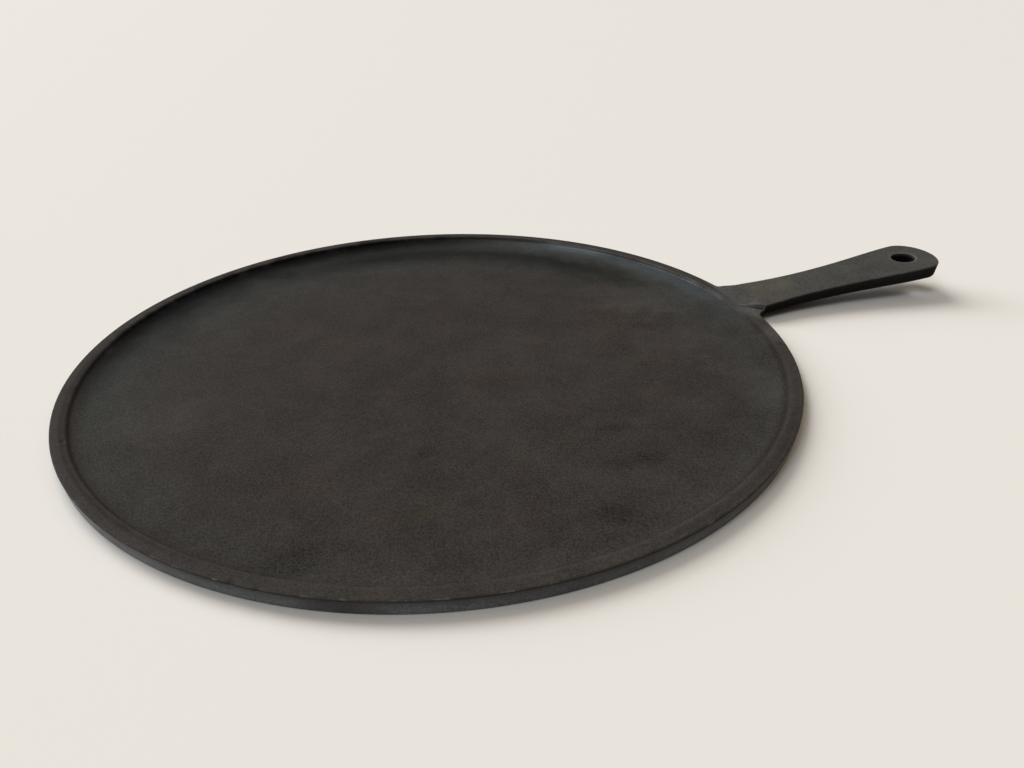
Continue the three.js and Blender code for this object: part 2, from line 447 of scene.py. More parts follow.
@dataclass(frozen=True)
class Value:
    """What a socket puts out. Plain sums on it add the nodes that work them out."""

    wiring: "Wiring"
    socket: bpy.types.NodeSocket

    def __add__(self, other: Feed) -> "Value":
        """This value and another, added."""
        return self.wiring.maths("ADD", self, other)

    def __sub__(self, other: Feed) -> "Value":
        """This value less another."""
        return self.wiring.maths("SUBTRACT", self, other)

    def __rsub__(self, other: Feed) -> "Value":
        """Another value less this one."""
        return self.wiring.maths("SUBTRACT", other, self)

    def __mul__(self, other: Feed) -> "Value":
        """This value and another, multiplied."""
        return self.wiring.maths("MULTIPLY", self, other)

    def __truediv__(self, other: Feed) -> "Value":
        """This value over another."""
        return self.wiring.maths("DIVIDE", self, other)

    def __rtruediv__(self, other: Feed) -> "Value":
        """Another value over this one."""
        return self.wiring.maths("DIVIDE", other, self)


@dataclass(frozen=True)
class Added:
    """A node in a tree, whose outputs are read by name or number."""

    wiring: "Wiring"
    node: bpy.types.Node

    def __getitem__(self, key: str | int) -> Value:
        """What one output puts out."""
        return Value(self.wiring, self.node.outputs[key])


@dataclass(frozen=True)
class Wiring:
    """Adds nodes to a tree, shader or geometry, and joins them."""

    tree: bpy.types.NodeTree

    @classmethod
    def group(cls, name: str, kind: str, takes: dict[str, str]) -> tuple:
        """Starts a node group.

        Args:
            name: The group's name.
            kind: The tree's type name.
            takes: Names of its inputs, with their socket types.

        Returns:
            The wiring, and then what each input puts out.
        """
        wiring = cls(bpy.data.node_groups.new(name, kind))
        for socket, socket_type in takes.items():
            wiring.tree.interface.new_socket(socket, in_out="INPUT", socket_type=socket_type)
        entry = wiring.add("NodeGroupInput")
        return (wiring, *[entry[socket] for socket in takes])

    def give(self, values: dict[str, Value], socket_type: str = FLOAT) -> bpy.types.NodeTree:
        """Ends a node group.

        Args:
            values: What it puts out, by name.
            socket_type: The socket type of all of it.

        Returns:
            The group's tree.
        """
        for name in values:
            self.tree.interface.new_socket(name, in_out="OUTPUT", socket_type=socket_type)
        self.add("NodeGroupOutput", values)
        return self.tree

    def add(self, kind: str, feeds: dict | None = None, **settings: object) -> Added:
        """Adds a node.

        Args:
            kind: The node's type name.
            feeds: Sockets by name or number, each with a setting or the value that feeds it.
            **settings: The node's own settings.

        Returns:
            The node.
        """
        node = self.tree.nodes.new(kind)
        for name, value in settings.items():
            setattr(node, name, value)
        for key, value in (feeds or {}).items():
            if isinstance(value, Value):
                self.tree.links.new(value.socket, node.inputs[key])
            else:
                node.inputs[key].default_value = value
        return Added(self, node)

    def place(self, group: bpy.types.NodeTree, **feeds: Feed) -> Added:
        """Places a shader group and feeds its inputs, which are given by name."""
        return self.add("ShaderNodeGroup", feeds, node_tree=group)

    def maths(self, operation: str, *values: Feed, clamp: bool = False) -> Value:
        """Adds a sum, on numbers or on vectors.

        Args:
            operation: The sum's type name.
            *values: What it takes.
            clamp: Whether a number is kept from 0 to 1.

        Returns:
            The result.
        """
        feeds = dict(enumerate(values))
        if any(isinstance(v, tuple) or isinstance(v, Value) and v.socket.type == "VECTOR" for v in values):
            result = "Value" if operation in NUMBER_SUMS else "Vector"
            return self.add("ShaderNodeVectorMath", feeds, operation=operation)[result]
        return self.add("ShaderNodeMath", feeds, operation=operation, use_clamp=clamp)[0]

    def scaled(self, vector: Value, factor: Feed) -> Value:
        """Scales a vector by a number."""
        return self.add("ShaderNodeVectorMath", {"Vector": vector, "Scale": factor}, operation="SCALE")[0]

    def split(self, vector: Value) -> Added:
        """Takes a vector apart."""
        return self.add("ShaderNodeSeparateXYZ", {0: vector})

    def joined(self, x: Value, y: Value, z: Value) -> Value:
        """Puts a vector together."""
        return self.add("ShaderNodeCombineXYZ", {0: x, 1: y, 2: z})[0]

    def step(self, value: Feed, low: Feed, high: Feed, start: Feed = 0.0, end: Feed = 1.0) -> Value:
        """Eases from start to end while a value goes from low to high."""
        feeds = dict(enumerate((value, low, high, start, end)))
        return self.add("ShaderNodeMapRange", feeds, interpolation_type="SMOOTHSTEP")[0]

    def tint(self, share: Feed, under: Value | Colour, over: Value | Colour, mode: str = "MIX") -> Value:
        """Lays one colour over another.

        Args:
            share: How much of it is laid on, from 0 to 1.
            under: The colour under it.
            over: The colour laid over it.
            mode: How they mix.

        Returns:
            The mixed colour.
        """
        colours = [colour if isinstance(colour, Value) else linear(colour) for colour in (under, over)]
        feeds = {0: share, UNDER: colours[0], OVER: colours[1]}
        return self.add("ShaderNodeMix", feeds, data_type="RGBA", blend_type=mode)[MIXED]

    def lit(self, colour: Value | Colour, level: Value) -> Value:
        """Multiplies a colour by a number."""
        grey = self.add("ShaderNodeCombineColor", {0: level, 1: level, 2: level})[0]
        return self.tint(1.0, colour, grey, "MULTIPLY")

    def noise(self, vector: Value, cloud: Cloud, size: Feed = 1.0) -> Added:
        """Adds noise.

        Args:
            vector: The place.
            cloud: How large its features are, and how broken and bent.
            size: What the cloud's size is multiplied by.

        Returns:
            The noise texture.
        """
        looks = {"Detail": cloud.detail, "Roughness": cloud.rough, "Distortion": cloud.bend}
        feeds = {"Vector": vector, "Scale": 1 / (size * cloud.size), **looks}
        return self.add("ShaderNodeTexNoise", feeds)

    def cells(self, vector: Value, rate: Value) -> Added:
        """Adds scattered cells, with so many of them to the metre."""
        return self.add("ShaderNodeTexVoronoi", {"Vector": vector, "Scale": rate})

    def layer(self, layer: Layer) -> Value:
        """Reads a number that the mesh carries, in a shader."""
        return self.add("ShaderNodeAttribute", attribute_name=layer.value)["Fac"]

    def keep(self, geometry: Value, name: str, value: Value, kind: str = "FLOAT") -> Value:
        """Keeps a value on the points of a geometry under a name."""
        feeds = {"Geometry": geometry, "Name": name, "Value": value}
        return self.add("GeometryNodeStoreNamedAttribute", feeds, data_type=kind)[0]

    def kept(self, name: str, kind: str = "FLOAT") -> Value:
        """Reads such a value back, or one that the mesh carries."""
        return self.add("GeometryNodeInputNamedAttribute", {"Name": name}, data_type=kind)[0]

    def finish(self, geometry: Value, material: Value) -> bpy.types.NodeTree:
        """Ends a geometry tree: makes what it built real, and gives it its material.

        Args:
            geometry: What it built.
            material: The finish.

        Returns:
            The tree.
        """
        real = self.add("GeometryNodeRealizeInstances", {"Geometry": geometry})[0]
        dressed = self.add("GeometryNodeSetMaterial", {"Geometry": real, "Material": material})[0]
        self.tree.is_modifier = True
        return self.give({"Geometry": dressed}, GEOMETRY)


# Shader groups that the finishes share


@dataclass
class SharedEffects:
    """Shader groups that every finish uses, each built once, with their sizes, shares and spans."""

    coarse_grain: Cloud = Cloud(1.0, 3.0, 0.62)
    fine_grain: Cloud = Cloud(0.35)
    fine_height: float = 0.3
    speckle_span: Span = (0.34, 0.66)
    pit_rate: float = 0.42
    pit_depth: float = 0.35
    pit_span: Span = (0.05, 0.3)
    glint_rate: float = 0.16
    glint_span: Span = (0.03, 0.07)
    glint_choice: Span = (0.55, 0.8)
    warm_patches: Cloud = Cloud(1.0, 4.0, 0.62, 0.4)
    cool_patches: Cloud = Cloud(1.3, 4.0, 0.6, 0.5)
    tone_patches: Cloud = Cloud(0.42, 5.0, 0.68, 0.3)
    cool_shift: Place = (0.37, 0.11, 0.0)
    warm_span: Span = (0.42, 0.68)
    cool_span: Span = (0.45, 0.7)
    tone_span: Span = (0.3, 0.7)
    worn_patches: Cloud = Cloud(7 * MM, 3.0, 0.6)
    worn_patch_span: Span = (0.25, 0.7)
    worn_patch_wear: Span = (0.45, 1.15)
    worn_flecks: Cloud = Cloud(1.3 * MM, 3.0, 0.7)
    bared_flecks: float = 0.75
    bared_patches: float = 0.5
    bared_start: float = 1.1
    bared_by_wear: float = 0.4
    bared_span: Span = (-0.12, 0.03)
    scratch_waves: Cloud = Cloud(3 * MM)
    scratch_shake: float = 1.2 * MM
    smudge_edge: Cloud = Cloud(9 * MM, 4.0, 0.65)
    smudge_shake: float = 1.5
    smudge_span: Span = (1.0, 1.8)
    ring_edge: Cloud = Cloud(14 * MM, 4.0, 0.6)
    ring_shake: float = 0.6
    ring_plain: float = 0.35

    def __post_init__(self) -> None:
        """Builds the groups."""
        self.grain = self._grain()
        self.seasoning = self._seasoning()
        self.wear = self._wear()
        self.scratch = self._scratch()
        self.smudge = self._smudge()
        self.ring = self._ring()

    @staticmethod
    def _start(name: str, **more: str) -> tuple:
        """Starts a shader group that takes a place and more inputs."""
        return Wiring.group(name, "ShaderNodeTree", {"Vector": VECTOR, **more})

    def _grain(self) -> bpy.types.NodeTree:
        """Builds the fine grain of a sand casting.

        Returns:
            A group with a height, a light and dark speckle, and rare glints.
        """
        wiring, place, size = self._start("cast_grain", Size=FLOAT)
        coarse = wiring.noise(place, self.coarse_grain, size)[0]
        fine = wiring.noise(place, self.fine_grain, size)[0]
        high = coarse * (1 - self.fine_height) + fine * self.fine_height
        pits = wiring.step(wiring.cells(place, self.pit_rate / size)["Distance"], *self.pit_span)
        sparks = wiring.cells(place, self.glint_rate / size)
        near = wiring.step(sparks["Distance"], *self.glint_span, 1.0, 0.0)
        drawn = wiring.add("ShaderNodeSeparateColor", {0: sparks["Color"]})[0]
        few = wiring.step(drawn, *self.glint_choice)
        height = high * (pits * self.pit_depth + (1 - self.pit_depth))
        speckle = wiring.step(high, *self.speckle_span, -1.0, 1.0)
        return wiring.give({"Height": height, "Speckle": speckle, "Glints": near * few})

    def _seasoning(self) -> bpy.types.NodeTree:
        """Builds the patches of baked-on seasoning.

        Returns:
            A group that says where it is browner, where greyer, and how light it is.
        """
        wiring, place, size = self._start("seasoning", Size=FLOAT)
        moved = place + self.cool_shift
        warm = wiring.noise(place, self.warm_patches, size)[0]
        cool = wiring.noise(moved, self.cool_patches, size)[0]
        cloud = wiring.noise(place, self.tone_patches, size)[0]
        return wiring.give(
            {
                "Warm": wiring.step(warm, *self.warm_span),
                "Cool": wiring.step(cool, *self.cool_span),
                "Tone": wiring.step(cloud, *self.tone_span, -1.0, 1.0),
                "Cloud": cloud,
            }
        )

    def _wear(self) -> bpy.types.NodeTree:
        """Builds the broken wear of the edges.

        Returns:
            A group that says where the skin is rubbed and where bright iron shows in flecks.
        """
        wiring, place, worn = self._start("edge_wear", Wear=FLOAT)
        patches = wiring.noise(place, self.worn_patches)[0]
        flecks = wiring.noise(place, self.worn_flecks)[0]
        soft = worn * wiring.step(patches, *self.worn_patch_span, *self.worn_patch_wear)
        need = self.bared_start - soft * self.bared_by_wear
        high = flecks * self.bared_flecks + patches * self.bared_patches
        bared = wiring.step(high - need, *self.bared_span)
        return wiring.give({"Rubbed": wiring.maths("MINIMUM", soft, 1.0), "Bared": bared})

    def _scratch(self) -> bpy.types.NodeTree:
        """Builds a line from one place to another, slightly ragged.

        Returns:
            A group with its mask.
        """
        wiring, place, start, end, width = self._start("scratch", From=VECTOR, To=VECTOR, Width=FLOAT)
        shaken = wiring.noise(place, self.scratch_waves)["Color"]
        centred = wiring.maths("SUBTRACT", shaken, (0.5, 0.5, 0.5))
        run = end - start
        offset = centred * (self.scratch_shake, self.scratch_shake, 0.0) + place - start
        lengths = [wiring.maths("DOT_PRODUCT", vector, run) for vector in (offset, run)]
        foot = wiring.scaled(run, wiring.maths("DIVIDE", *lengths, clamp=True))
        away = wiring.maths("DISTANCE", offset, foot)
        return wiring.give({"Mask": wiring.step(away, 0.0, width, 1.0, 0.0)})

    def _smudge(self) -> bpy.types.NodeTree:
        """Builds a soft patch about a place, with a broken edge.

        Returns:
            A group with its mask.
        """
        wiring, place, centre, reach = self._start("smudge", Centre=VECTOR, Reach=VECTOR)
        away = wiring.maths("LENGTH", (place - centre) / reach)
        ragged = wiring.noise(place, self.smudge_edge)[0]
        edge = ragged * self.smudge_shake + away
        return wiring.give({"Mask": wiring.step(edge, *self.smudge_span, 1.0, 0.0)})

    def _ring(self) -> bpy.types.NodeTree:
        """Builds a soft stretch of ring about the pan's middle, with a broken edge.

        Returns:
            A group with its mask.
        """
        sizes = {"Radius": FLOAT, "Inward": FLOAT, "Outward": FLOAT, "Toward": VECTOR, "Spread": FLOAT}
        wiring, place, radius, inward, outward, toward, spread = self._start("ring_stretch", **sizes)
        ragged = wiring.noise(place, self.ring_edge)[0]
        shaken = wiring.maths("LENGTH", place) + (ragged - 0.5) * inward * self.ring_shake
        offset = shaken - radius
        rise = wiring.step(offset, inward * -1.0, 0.0)
        fall = wiring.step(offset, 0.0, outward, 1.0, 0.0)
        facing = wiring.maths("DOT_PRODUCT", wiring.maths("NORMALIZE", place), toward)
        turned = wiring.maths("ARCCOSINE", facing)
        near = wiring.step(turned, spread * self.ring_plain, spread, 1.0, 0.0)
        return wiring.give({"Mask": rise * fall * near})


# Marks on the iron, in millimetres and in degrees from the handle: some of long use, several rings of
# painted shade, a painted warm reflection and a painted bluish sheen


@dataclass(frozen=True, kw_only=True)
class Mark:
    """What a mark does to the iron: how much lighter, oilier, greyer, and more polished it is. Several marks
    are painted shade, a painted warm reflection or a painted bluish sheen.
    """

    light: float = 0.0
    oil_and_warm_reflection: float = 0.0
    grey: float = 0.0
    polish_and_sheen: float = 0.0
    cut: ClassVar[float] = 0.0

    def lit(self, light: Value, mask: Value) -> Value:
        """The lightness with the mark on it."""
        return light + mask * self.light


@dataclass(frozen=True)
class Smudge(Mark):
    """A patch about a place, with its reach along X and Y."""

    x: float
    y: float
    reach_x: float
    reach_y: float

    def mask(self, effects: SharedEffects, flat: Value) -> Value:
        """Where the smudge is."""
        centre, reach = (self.x * MM, self.y * MM, 0.0), (self.reach_x * MM, self.reach_y * MM, 1.0)
        return flat.wiring.place(effects.smudge, Vector=flat, Centre=centre, Reach=reach)[0]


@dataclass(frozen=True)
class Scratch(Mark):
    """A scratch or crack from one place to another."""

    x: float
    y: float
    end_x: float
    end_y: float
    width: float
    cut: ClassVar[float] = 1.4

    def mask(self, effects: SharedEffects, flat: Value) -> Value:
        """Where the scratch is."""
        ends = {"From": (self.x * MM, self.y * MM, 0.0), "To": (self.end_x * MM, self.end_y * MM, 0.0)}
        return flat.wiring.place(effects.scratch, Vector=flat, Width=self.width * MM, **ends)[0]


@dataclass(frozen=True)
class Ring(Mark):
    """A stretch of ring about the pan's middle, with its reach inward, outward and to both sides. Most rings
    paint shade, a warm reflection or a bluish sheen on one side of the pan.
    """

    radius: float
    inward: float
    outward: float
    turn: float
    spread: float

    def lit(self, light: Value, mask: Value) -> Value:
        """The lightness with the ring on it, which darkens what is there in step."""
        return light * (mask * self.light + 1.0)

    def mask(self, effects: SharedEffects, flat: Value) -> Value:
        """Where the ring is.

        Args:
            effects: The shared shader groups.
            flat: The place in plan.

        Returns:
            1 on the ring and 0 off it.
        """
        turn = math.radians(self.turn)
        sizes = {"Radius": self.radius * MM, "Inward": self.inward * MM, "Outward": self.outward * MM}
        toward = (math.cos(turn), math.sin(turn), 0.0)
        spread = math.radians(self.spread)
        return flat.wiring.place(effects.ring, Vector=flat, Toward=toward, Spread=spread, **sizes)[0]


MARKS = (
    Smudge(-66.0, 126.3, 15, 9, light=-0.34),
    Smudge(-77.1, -126.5, 20, 12, light=-0.26),
    Smudge(24.6, -137.7, 14, 8, light=-0.22),
    Smudge(50.4, -90.3, 9, 5, light=-0.28),
    Smudge(52.2, -112.9, 18, 6, light=-0.24),
    Smudge(-25.4, -82.8, 8, 5, light=-0.24),
    Smudge(103.2, -6.4, 9, 6, light=-0.24),
    Smudge(-123.1, -24.2, 24, 30, light=0.16),
    Smudge(118.0, 26.0, 34, 30, light=0.42),
    Smudge(112.0, -26.0, 30, 34, light=0.16),
    Smudge(125.0, -80.0, 18, 26, light=0.2),
    Smudge(157.5, -42.0, 8, 12, light=0.4, grey=0.3),
    Smudge(162.0, 2.0, 7, 18, light=0.05, grey=0.8),
    Smudge(165.0, -15.0, 10, 14, light=0.45, grey=0.95),
    Smudge(47.0, -5.0, 10, 7, light=0.18, oil_and_warm_reflection=0.25),
    Smudge(-65.7, -92.1, 16, 6, light=0.05, oil_and_warm_reflection=0.22),
    Smudge(-38.1, -116.3, 22, 7, light=0.05, oil_and_warm_reflection=0.22),
    Smudge(30.7, -91.1, 12, 5, light=0.05, oil_and_warm_reflection=0.2),
    Smudge(182.0, 3.0, 20, 20, light=0.42, oil_and_warm_reflection=0.25),
    Scratch(-70.0, 117.7, -63.0, 128.7, 0.7, light=0.4),
    Scratch(151.4, -49.9, 155.4, -53.6, 0.5, light=-0.5),
    Scratch(157.3, -38.0, 158.7, -40.9, 0.5, light=-0.5),
    # A darker ring over the far side of the plate
    Ring(133, 24, 15, 64, 66, light=-0.62),
    # Painted shade on the far left's inner wall, cove and plate, where the inner wall faces away from the
    # main lamp
    Ring(157, 40, 6, 116, 62, light=-0.75),
    Ring(157, 16, 4.5, 122, 72, light=-0.92),
    # Painted shade in the crease toward the near right
    Ring(158.6, 3, 2, -36, 46, light=-0.4),
    # A darker stretch of band toward the near right
    Ring(162.5, 3, 3, -54, 28, light=-0.25),
    # Painted shade in the crease on the left, where the inner wall faces away from the lamps
    Ring(160.7, 1.8, 1.8, 193, 46, light=-0.5),
    # Painted shade and a painted warm reflection on the outer wall toward the near right
    Ring(165.3, 1.6, 3, -55, 56, light=-0.3, oil_and_warm_reflection=0.5),
    # Polished cove toward the far right: gloss, and a painted bluish sheen over its colour
    Ring(156, 12, 5, 30, 45, polish_and_sheen=0.3),
    Ring(157, 7, 4, 43, 10, polish_and_sheen=0.6),
)


@dataclass(frozen=True)
class IronFinish:
    """The casting's finish, the same in every slot, so that it runs on over the pieces' seams.

    Colours are as displayed, from 0 to 255.
    """

    name: str
    marks: tuple[Mark, ...] = MARKS
    body: Colour = (57, 53, 50)
    warm: Colour = (60, 54, 50)
    cool: Colour = (58, 59, 56)
    # Bluish tint laid where the iron is polished: a painted sheen
    painted_sheen: Colour = (56, 66, 72)
    # Brown of oil stains, also laid as a painted warm reflection on the near right's outer wall
    oil_and_warm_reflection: Colour = (60, 52, 34)
    rubbed: Colour = (73, 70, 67)
    bared: Colour = (96, 93, 89)
    # Near-black of the painted shade that the mesh's layer lays on
    shade_and_soot: Colour = (8, 7, 6)
    shank: Colour = (73, 72, 69)
    shank_rubbed: Colour = (98, 96, 92)
    # Lighter, bluish outer wall: partly the wall's own grey, partly a painted reflection of the bright floor
    # and the bluish lamps
    wall: Colour = (97, 101, 104)
    zone_centre: Place = (0.0, -26 * MM, 0.0)
    zone_start: float = 105 * MM
    zone_full: float = 165 * MM
    zone_shake: float = 60 * MM
    rim_start: float = 150 * MM
    rim_full: float = 160 * MM
    wall_start: float = 163.8 * MM
    wall_full: float = 164.2 * MM
    wall_end: float = 165.2 * MM
    wall_past: float = 166.0 * MM
    wall_low: float = 5.0 * MM
    wall_high: float = 5.5 * MM
    wall_polish: float = 0.7
    slab_corner: Place = (160 * MM, -6.1 * MM, 0.0)
    slab_side: Place = (0.665, 0.746, 0.0)
    slab_fade: float = 1.5 * MM
    shank_start: float = 168 * MM
    shank_full: float = 174 * MM
    shank_cover: float = 0.7
    roughness: float = 0.7
    cloud_roughness: float = 0.07
    grain_roughness: float = 0.04
    rubbed_roughness: float = 0.5
    specular: float = 0.02
    coat_roughness: float = 0.32
    grain_size: float = 0.75 * MM
    grain_height: float = 0.09 * MM
    grain_tone: float = 0.4
    cloud_tone: float = 0.16
    darkest: float = 0.02
    warm_share: float = 0.8
    cool_share: float = 0.35
    patch_size: float = 55 * MM
    glint_share: float = 0.8
    painted_sheen_share: float = 0.6
    grime_share: float = 0.95
    rubbed_share: float = 0.75

    def _on_shank(self, flat: Value) -> Value:
        """Finds the handle's lighter skin.

        Args:
            flat: The place in plan.

        Returns:
            1 on the handle and on the slab that runs over the rim, 0 off them.
        """
        wiring = flat.wiring
        along = wiring.split(flat)[0]
        past_line = wiring.maths("DOT_PRODUCT", flat - self.slab_corner, self.slab_side)
        past_corner = wiring.maths("MINIMUM", past_line, along - self.slab_corner[0])
        on_slab = wiring.step(past_corner, 0.0, self.slab_fade)
        return wiring.maths("MAXIMUM", on_slab, wiring.step(along, self.shank_start, self.shank_full))

    def _on_wall(self, height: Value, radius: Value) -> Value:
        """Finds the rim's outer wall.

        Args:
            height: The height of the place.
            radius: Its distance from the pan's middle.

        Returns:
            1 on the wall and 0 off it.
        """
        wiring = height.wiring
        low_down = wiring.step(height, self.wall_low, self.wall_high, 1.0, 0.0)
        outside = wiring.step(radius, self.wall_start, self.wall_full)
        return low_down * outside * wiring.step(radius, self.wall_end, self.wall_past, 1.0, 0.0)

    def _seasoned(
        self, colour: Value, flat: Value, radius: Value, seasoning: Added, on_shank: Value
    ) -> Value:
        """Lays brown and grey patches, and the greyer zone round the plate, over a colour.

        Args:
            colour: The colour under them.
            flat: The place in plan.
            radius: Its distance from the pan's middle.
            seasoning: The patches.
            on_shank: Where the handle is, which they show less on.

        Returns:
            The seasoned colour.
        """
        wiring = flat.wiring
        away = wiring.maths("DISTANCE", flat, self.zone_centre)
        shaken = away + (seasoning["Cloud"] - 0.5) * self.zone_shake
        off_rim = wiring.step(radius, self.rim_start, self.rim_full, 1.0, 0.0)
        zone = wiring.step(shaken, self.zone_start, self.zone_full) * off_rim
        warm = seasoning["Warm"] * self.warm_share * (1 - zone)
        cool = wiring.maths("MAXIMUM", seasoning["Cool"] * self.cool_share, zone)
        shown = 1 - on_shank * self.shank_cover
        return wiring.tint(cool * shown, wiring.tint(warm * shown, colour, self.warm), self.cool)

    def made(self, effects: SharedEffects) -> bpy.types.Material:
        """Builds the material.

        Args:
            effects: The shared shader groups.

        Returns:
            The material.
        """
        material = bpy.data.materials.new(self.name)
        material.use_nodes = True
        material.node_tree.nodes.clear()
        wiring = Wiring(material.node_tree)
        place = wiring.add("ShaderNodeTexCoord")["Object"]
        flat = place * (1.0, 1.0, 0.0)
        radius = wiring.maths("LENGTH", flat)
        grain = wiring.place(effects.grain, Vector=place, Size=self.grain_size)
        seasoning = wiring.place(effects.seasoning, Vector=place, Size=self.patch_size)
        wear = wiring.place(effects.wear, Vector=place, Wear=wiring.layer(Layer.WEAR))
        on_shank = self._on_shank(flat)
        on_wall = self._on_wall(wiring.split(place)[2], radius)
        # The outer wall takes its lighter, bluish colour here, partly a painted reflection
        colour = wiring.tint(on_wall, wiring.tint(on_shank, self.body, self.shank), self.wall)
        colour = self._seasoned(colour, flat, radius, seasoning, on_shank)

        light = seasoning["Tone"] * self.cloud_tone + 1.0 + grain["Speckle"] * self.grain_tone
        height = grain["Height"]
        polish_and_sheen = on_wall * self.wall_polish
        for mark in self.marks:
            mask = mark.mask(effects, flat)
            light = mark.lit(light, mask) if mark.light else light
            height = height - mask * mark.cut if mark.cut else height
            # Oil stains, and on the near right's outer wall a painted warm reflection
            colour = wiring.tint(mask * mark.oil_and_warm_reflection, colour, self.oil_and_warm_reflection) if mark.oil_and_warm_reflection else colour
            colour = wiring.tint(mask * mark.grey, colour, self.shank) if mark.grey else colour
            if mark.polish_and_sheen:
                polish_and_sheen = polish_and_sheen + mask * mark.polish_and_sheen
                # Painted bluish sheen over polished iron, besides the coat's own gloss
                colour = wiring.tint(mask * self.painted_sheen_share, colour, self.painted_sheen)
        colour = wiring.lit(colour, wiring.maths("MAXIMUM", light, self.darkest))

        rubbed = wear["Rubbed"] * self.rubbed_share
        # Painted shade from the mesh's layer: under the lip, in the creases, at the feet, on the handle's
        # sides, in the hole and along the handle's root
        colour = wiring.tint(wiring.layer(Layer.GRIME) * self.grime_share, colour, self.shade_and_soot)
        colour = wiring.tint(rubbed, colour, wiring.tint(on_shank, self.rubbed, self.shank_rubbed))
        colour = wiring.tint(wear["Bared"], colour, self.bared)
        colour = wiring.tint(grain["Glints"] * self.glint_share, colour, self.bared)

        rough = seasoning["Tone"] * self.cloud_roughness + grain["Speckle"] * self.grain_roughness
        worn_less = rubbed * (self.rubbed_roughness - self.roughness)
        relief = {"Height": height, "Distance": self.grain_height, "Strength": 1.0}
        bump = wiring.add("ShaderNodeBump", relief)
        shader = wiring.add(
            "ShaderNodeBsdfPrincipled",
            {
                "Base Color": colour,
                "Roughness": rough + self.roughness + worn_less,
                "Metallic": 0.0,
                "Specular IOR Level": self.specular,
                "Coat Weight": polish_and_sheen,
                "Coat Roughness": self.coat_roughness,
                "Normal": bump["Normal"],
            },
        )
        wiring.add("ShaderNodeOutputMaterial", {"Surface": shader[0]})
        return material


# Geometry Nodes that sweep the sections and roughen the castings

WAVES = Cloud(detail=1.0)
RIPPLES = Cloud(detail=2.0)
SAME_PLACE = 0.001 * MM


def section_sweep() -> bpy.types.NodeTree:
    """Builds the tree that sweeps a section, drawn in radius and height, about Z.

    Returns:
        The tree.
    """
    sizes = {"First Angle": FLOAT, "Swept Angle": FLOAT, "Steps": INT, "Whole Turn": BOOL}
    takes = {"Geometry": GEOMETRY, **sizes, "Material": MATERIAL}
    group = Wiring.group("section_sweep", "GeometryNodeTree", takes)
    wiring, section, first, swept, steps, whole, material = group
    place = wiring.split(wiring.add("GeometryNodeInputPosition")[0])
    section = wiring.keep(section, "section_radius", place["X"])
    section = wiring.keep(section, "section_height", place["Z"])
    profile = wiring.add("GeometryNodeMeshToCurve", {"Mesh": section})[0]

    arc = wiring.add("GeometryNodeCurveArc", {"Resolution": steps + 1.0, "Radius": 1.0})[0]
    circle = wiring.add("GeometryNodeCurvePrimitiveCircle", {"Resolution": steps, "Radius": 1.0})[0]
    choice = {"Switch": whole, "False": arc, "True": circle}
    path = wiring.add("GeometryNodeSwitch", choice, input_type="GEOMETRY")[0]
    way = wiring.add("GeometryNodeInputIndex")[0] / steps
    path = wiring.keep(path, "turn", way * swept + first)
    curves = {"Curve": path, "Profile Curve": profile, "Fill Caps": True}
    body = wiring.add("GeometryNodeCurveToMesh", curves)[0]

    turn = wiring.kept("turn")
    cosine = wiring.maths("COSINE", turn)
    sine = wiring.maths("SINE", turn)
    radius = wiring.kept("section_radius")
    target = wiring.joined(radius * cosine, radius * sine, wiring.kept("section_height"))
    body = wiring.add("GeometryNodeSetPosition", {"Geometry": body, "Position": target})[0]
    out = wiring.split(wiring.kept(Layer.OUT.value, "FLOAT_VECTOR"))
    turned = wiring.joined(out["X"] * cosine, out["X"] * sine, out["Z"])
    body = wiring.keep(body, Layer.OUT.value, turned, "FLOAT_VECTOR")
    merged = wiring.add("GeometryNodeMergeByDistance", {"Geometry": body, "Distance": SAME_PLACE})[0]
    return wiring.finish(merged, material)


@dataclass(frozen=True)
class Dent:
    """A small chip or dent: its place, how far it reaches and how deep it is."""

    place: Place
    reach: float
    depth: float
    flat_share: ClassVar[float] = 0.25


def cast_skin(dents: tuple[Dent, ...]) -> bpy.types.NodeTree:
    """Builds the tree that gives a body the uneven skin of a casting, always inwards.

    Args:
        dents: Chips and dents that the skin holds besides its waves.

    Returns:
        The tree.
    """
    sizes = {"Wave Height": FLOAT, "Wave Size": FLOAT, "Ripple Height": FLOAT, "Ripple Size": FLOAT}
    takes = {"Geometry": GEOMETRY, **sizes, "Material": MATERIAL}
    group = Wiring.group("cast_skin", "GeometryNodeTree", takes)
    wiring, body, wave_height, wave_size, ripple_height, ripple_size, material = group
    place = wiring.add("GeometryNodeInputPosition")[0]
    wave = wiring.noise(place, WAVES, wave_size)[0]
    ripple = wiring.noise(place, RIPPLES, ripple_size)[0]
    depth = wave * wave_height + ripple * ripple_height
    for dent in dents:
        away = wiring.maths("DISTANCE", place, dent.place)
        depth = depth + wiring.step(away, dent.flat_share * dent.reach, dent.reach, 1.0, 0.0) * dent.depth
    offset = wiring.scaled(wiring.kept(Layer.OUT.value, "FLOAT_VECTOR"), depth * -1.0)
    moved = wiring.add("GeometryNodeSetPosition", {"Geometry": body, "Offset": offset})[0]
    return wiring.finish(moved, material)


def put_tree(piece: bpy.types.Object, tree: bpy.types.NodeTree, values: dict[str, object]) -> None:
    """Puts a tree on a piece and sets its inputs by their sockets' identifiers.

    Args:
        piece: The piece.
        tree: The geometry tree.
        values: The tree's inputs by name.
    """
    modifier = piece.modifiers.new(tree.name, "NODES")
    modifier.node_group = tree
    found = {item.name: item.identifier for item in tree.interface.items_tree}
    for name, value in values.items():
        modifier[found[name]] = value


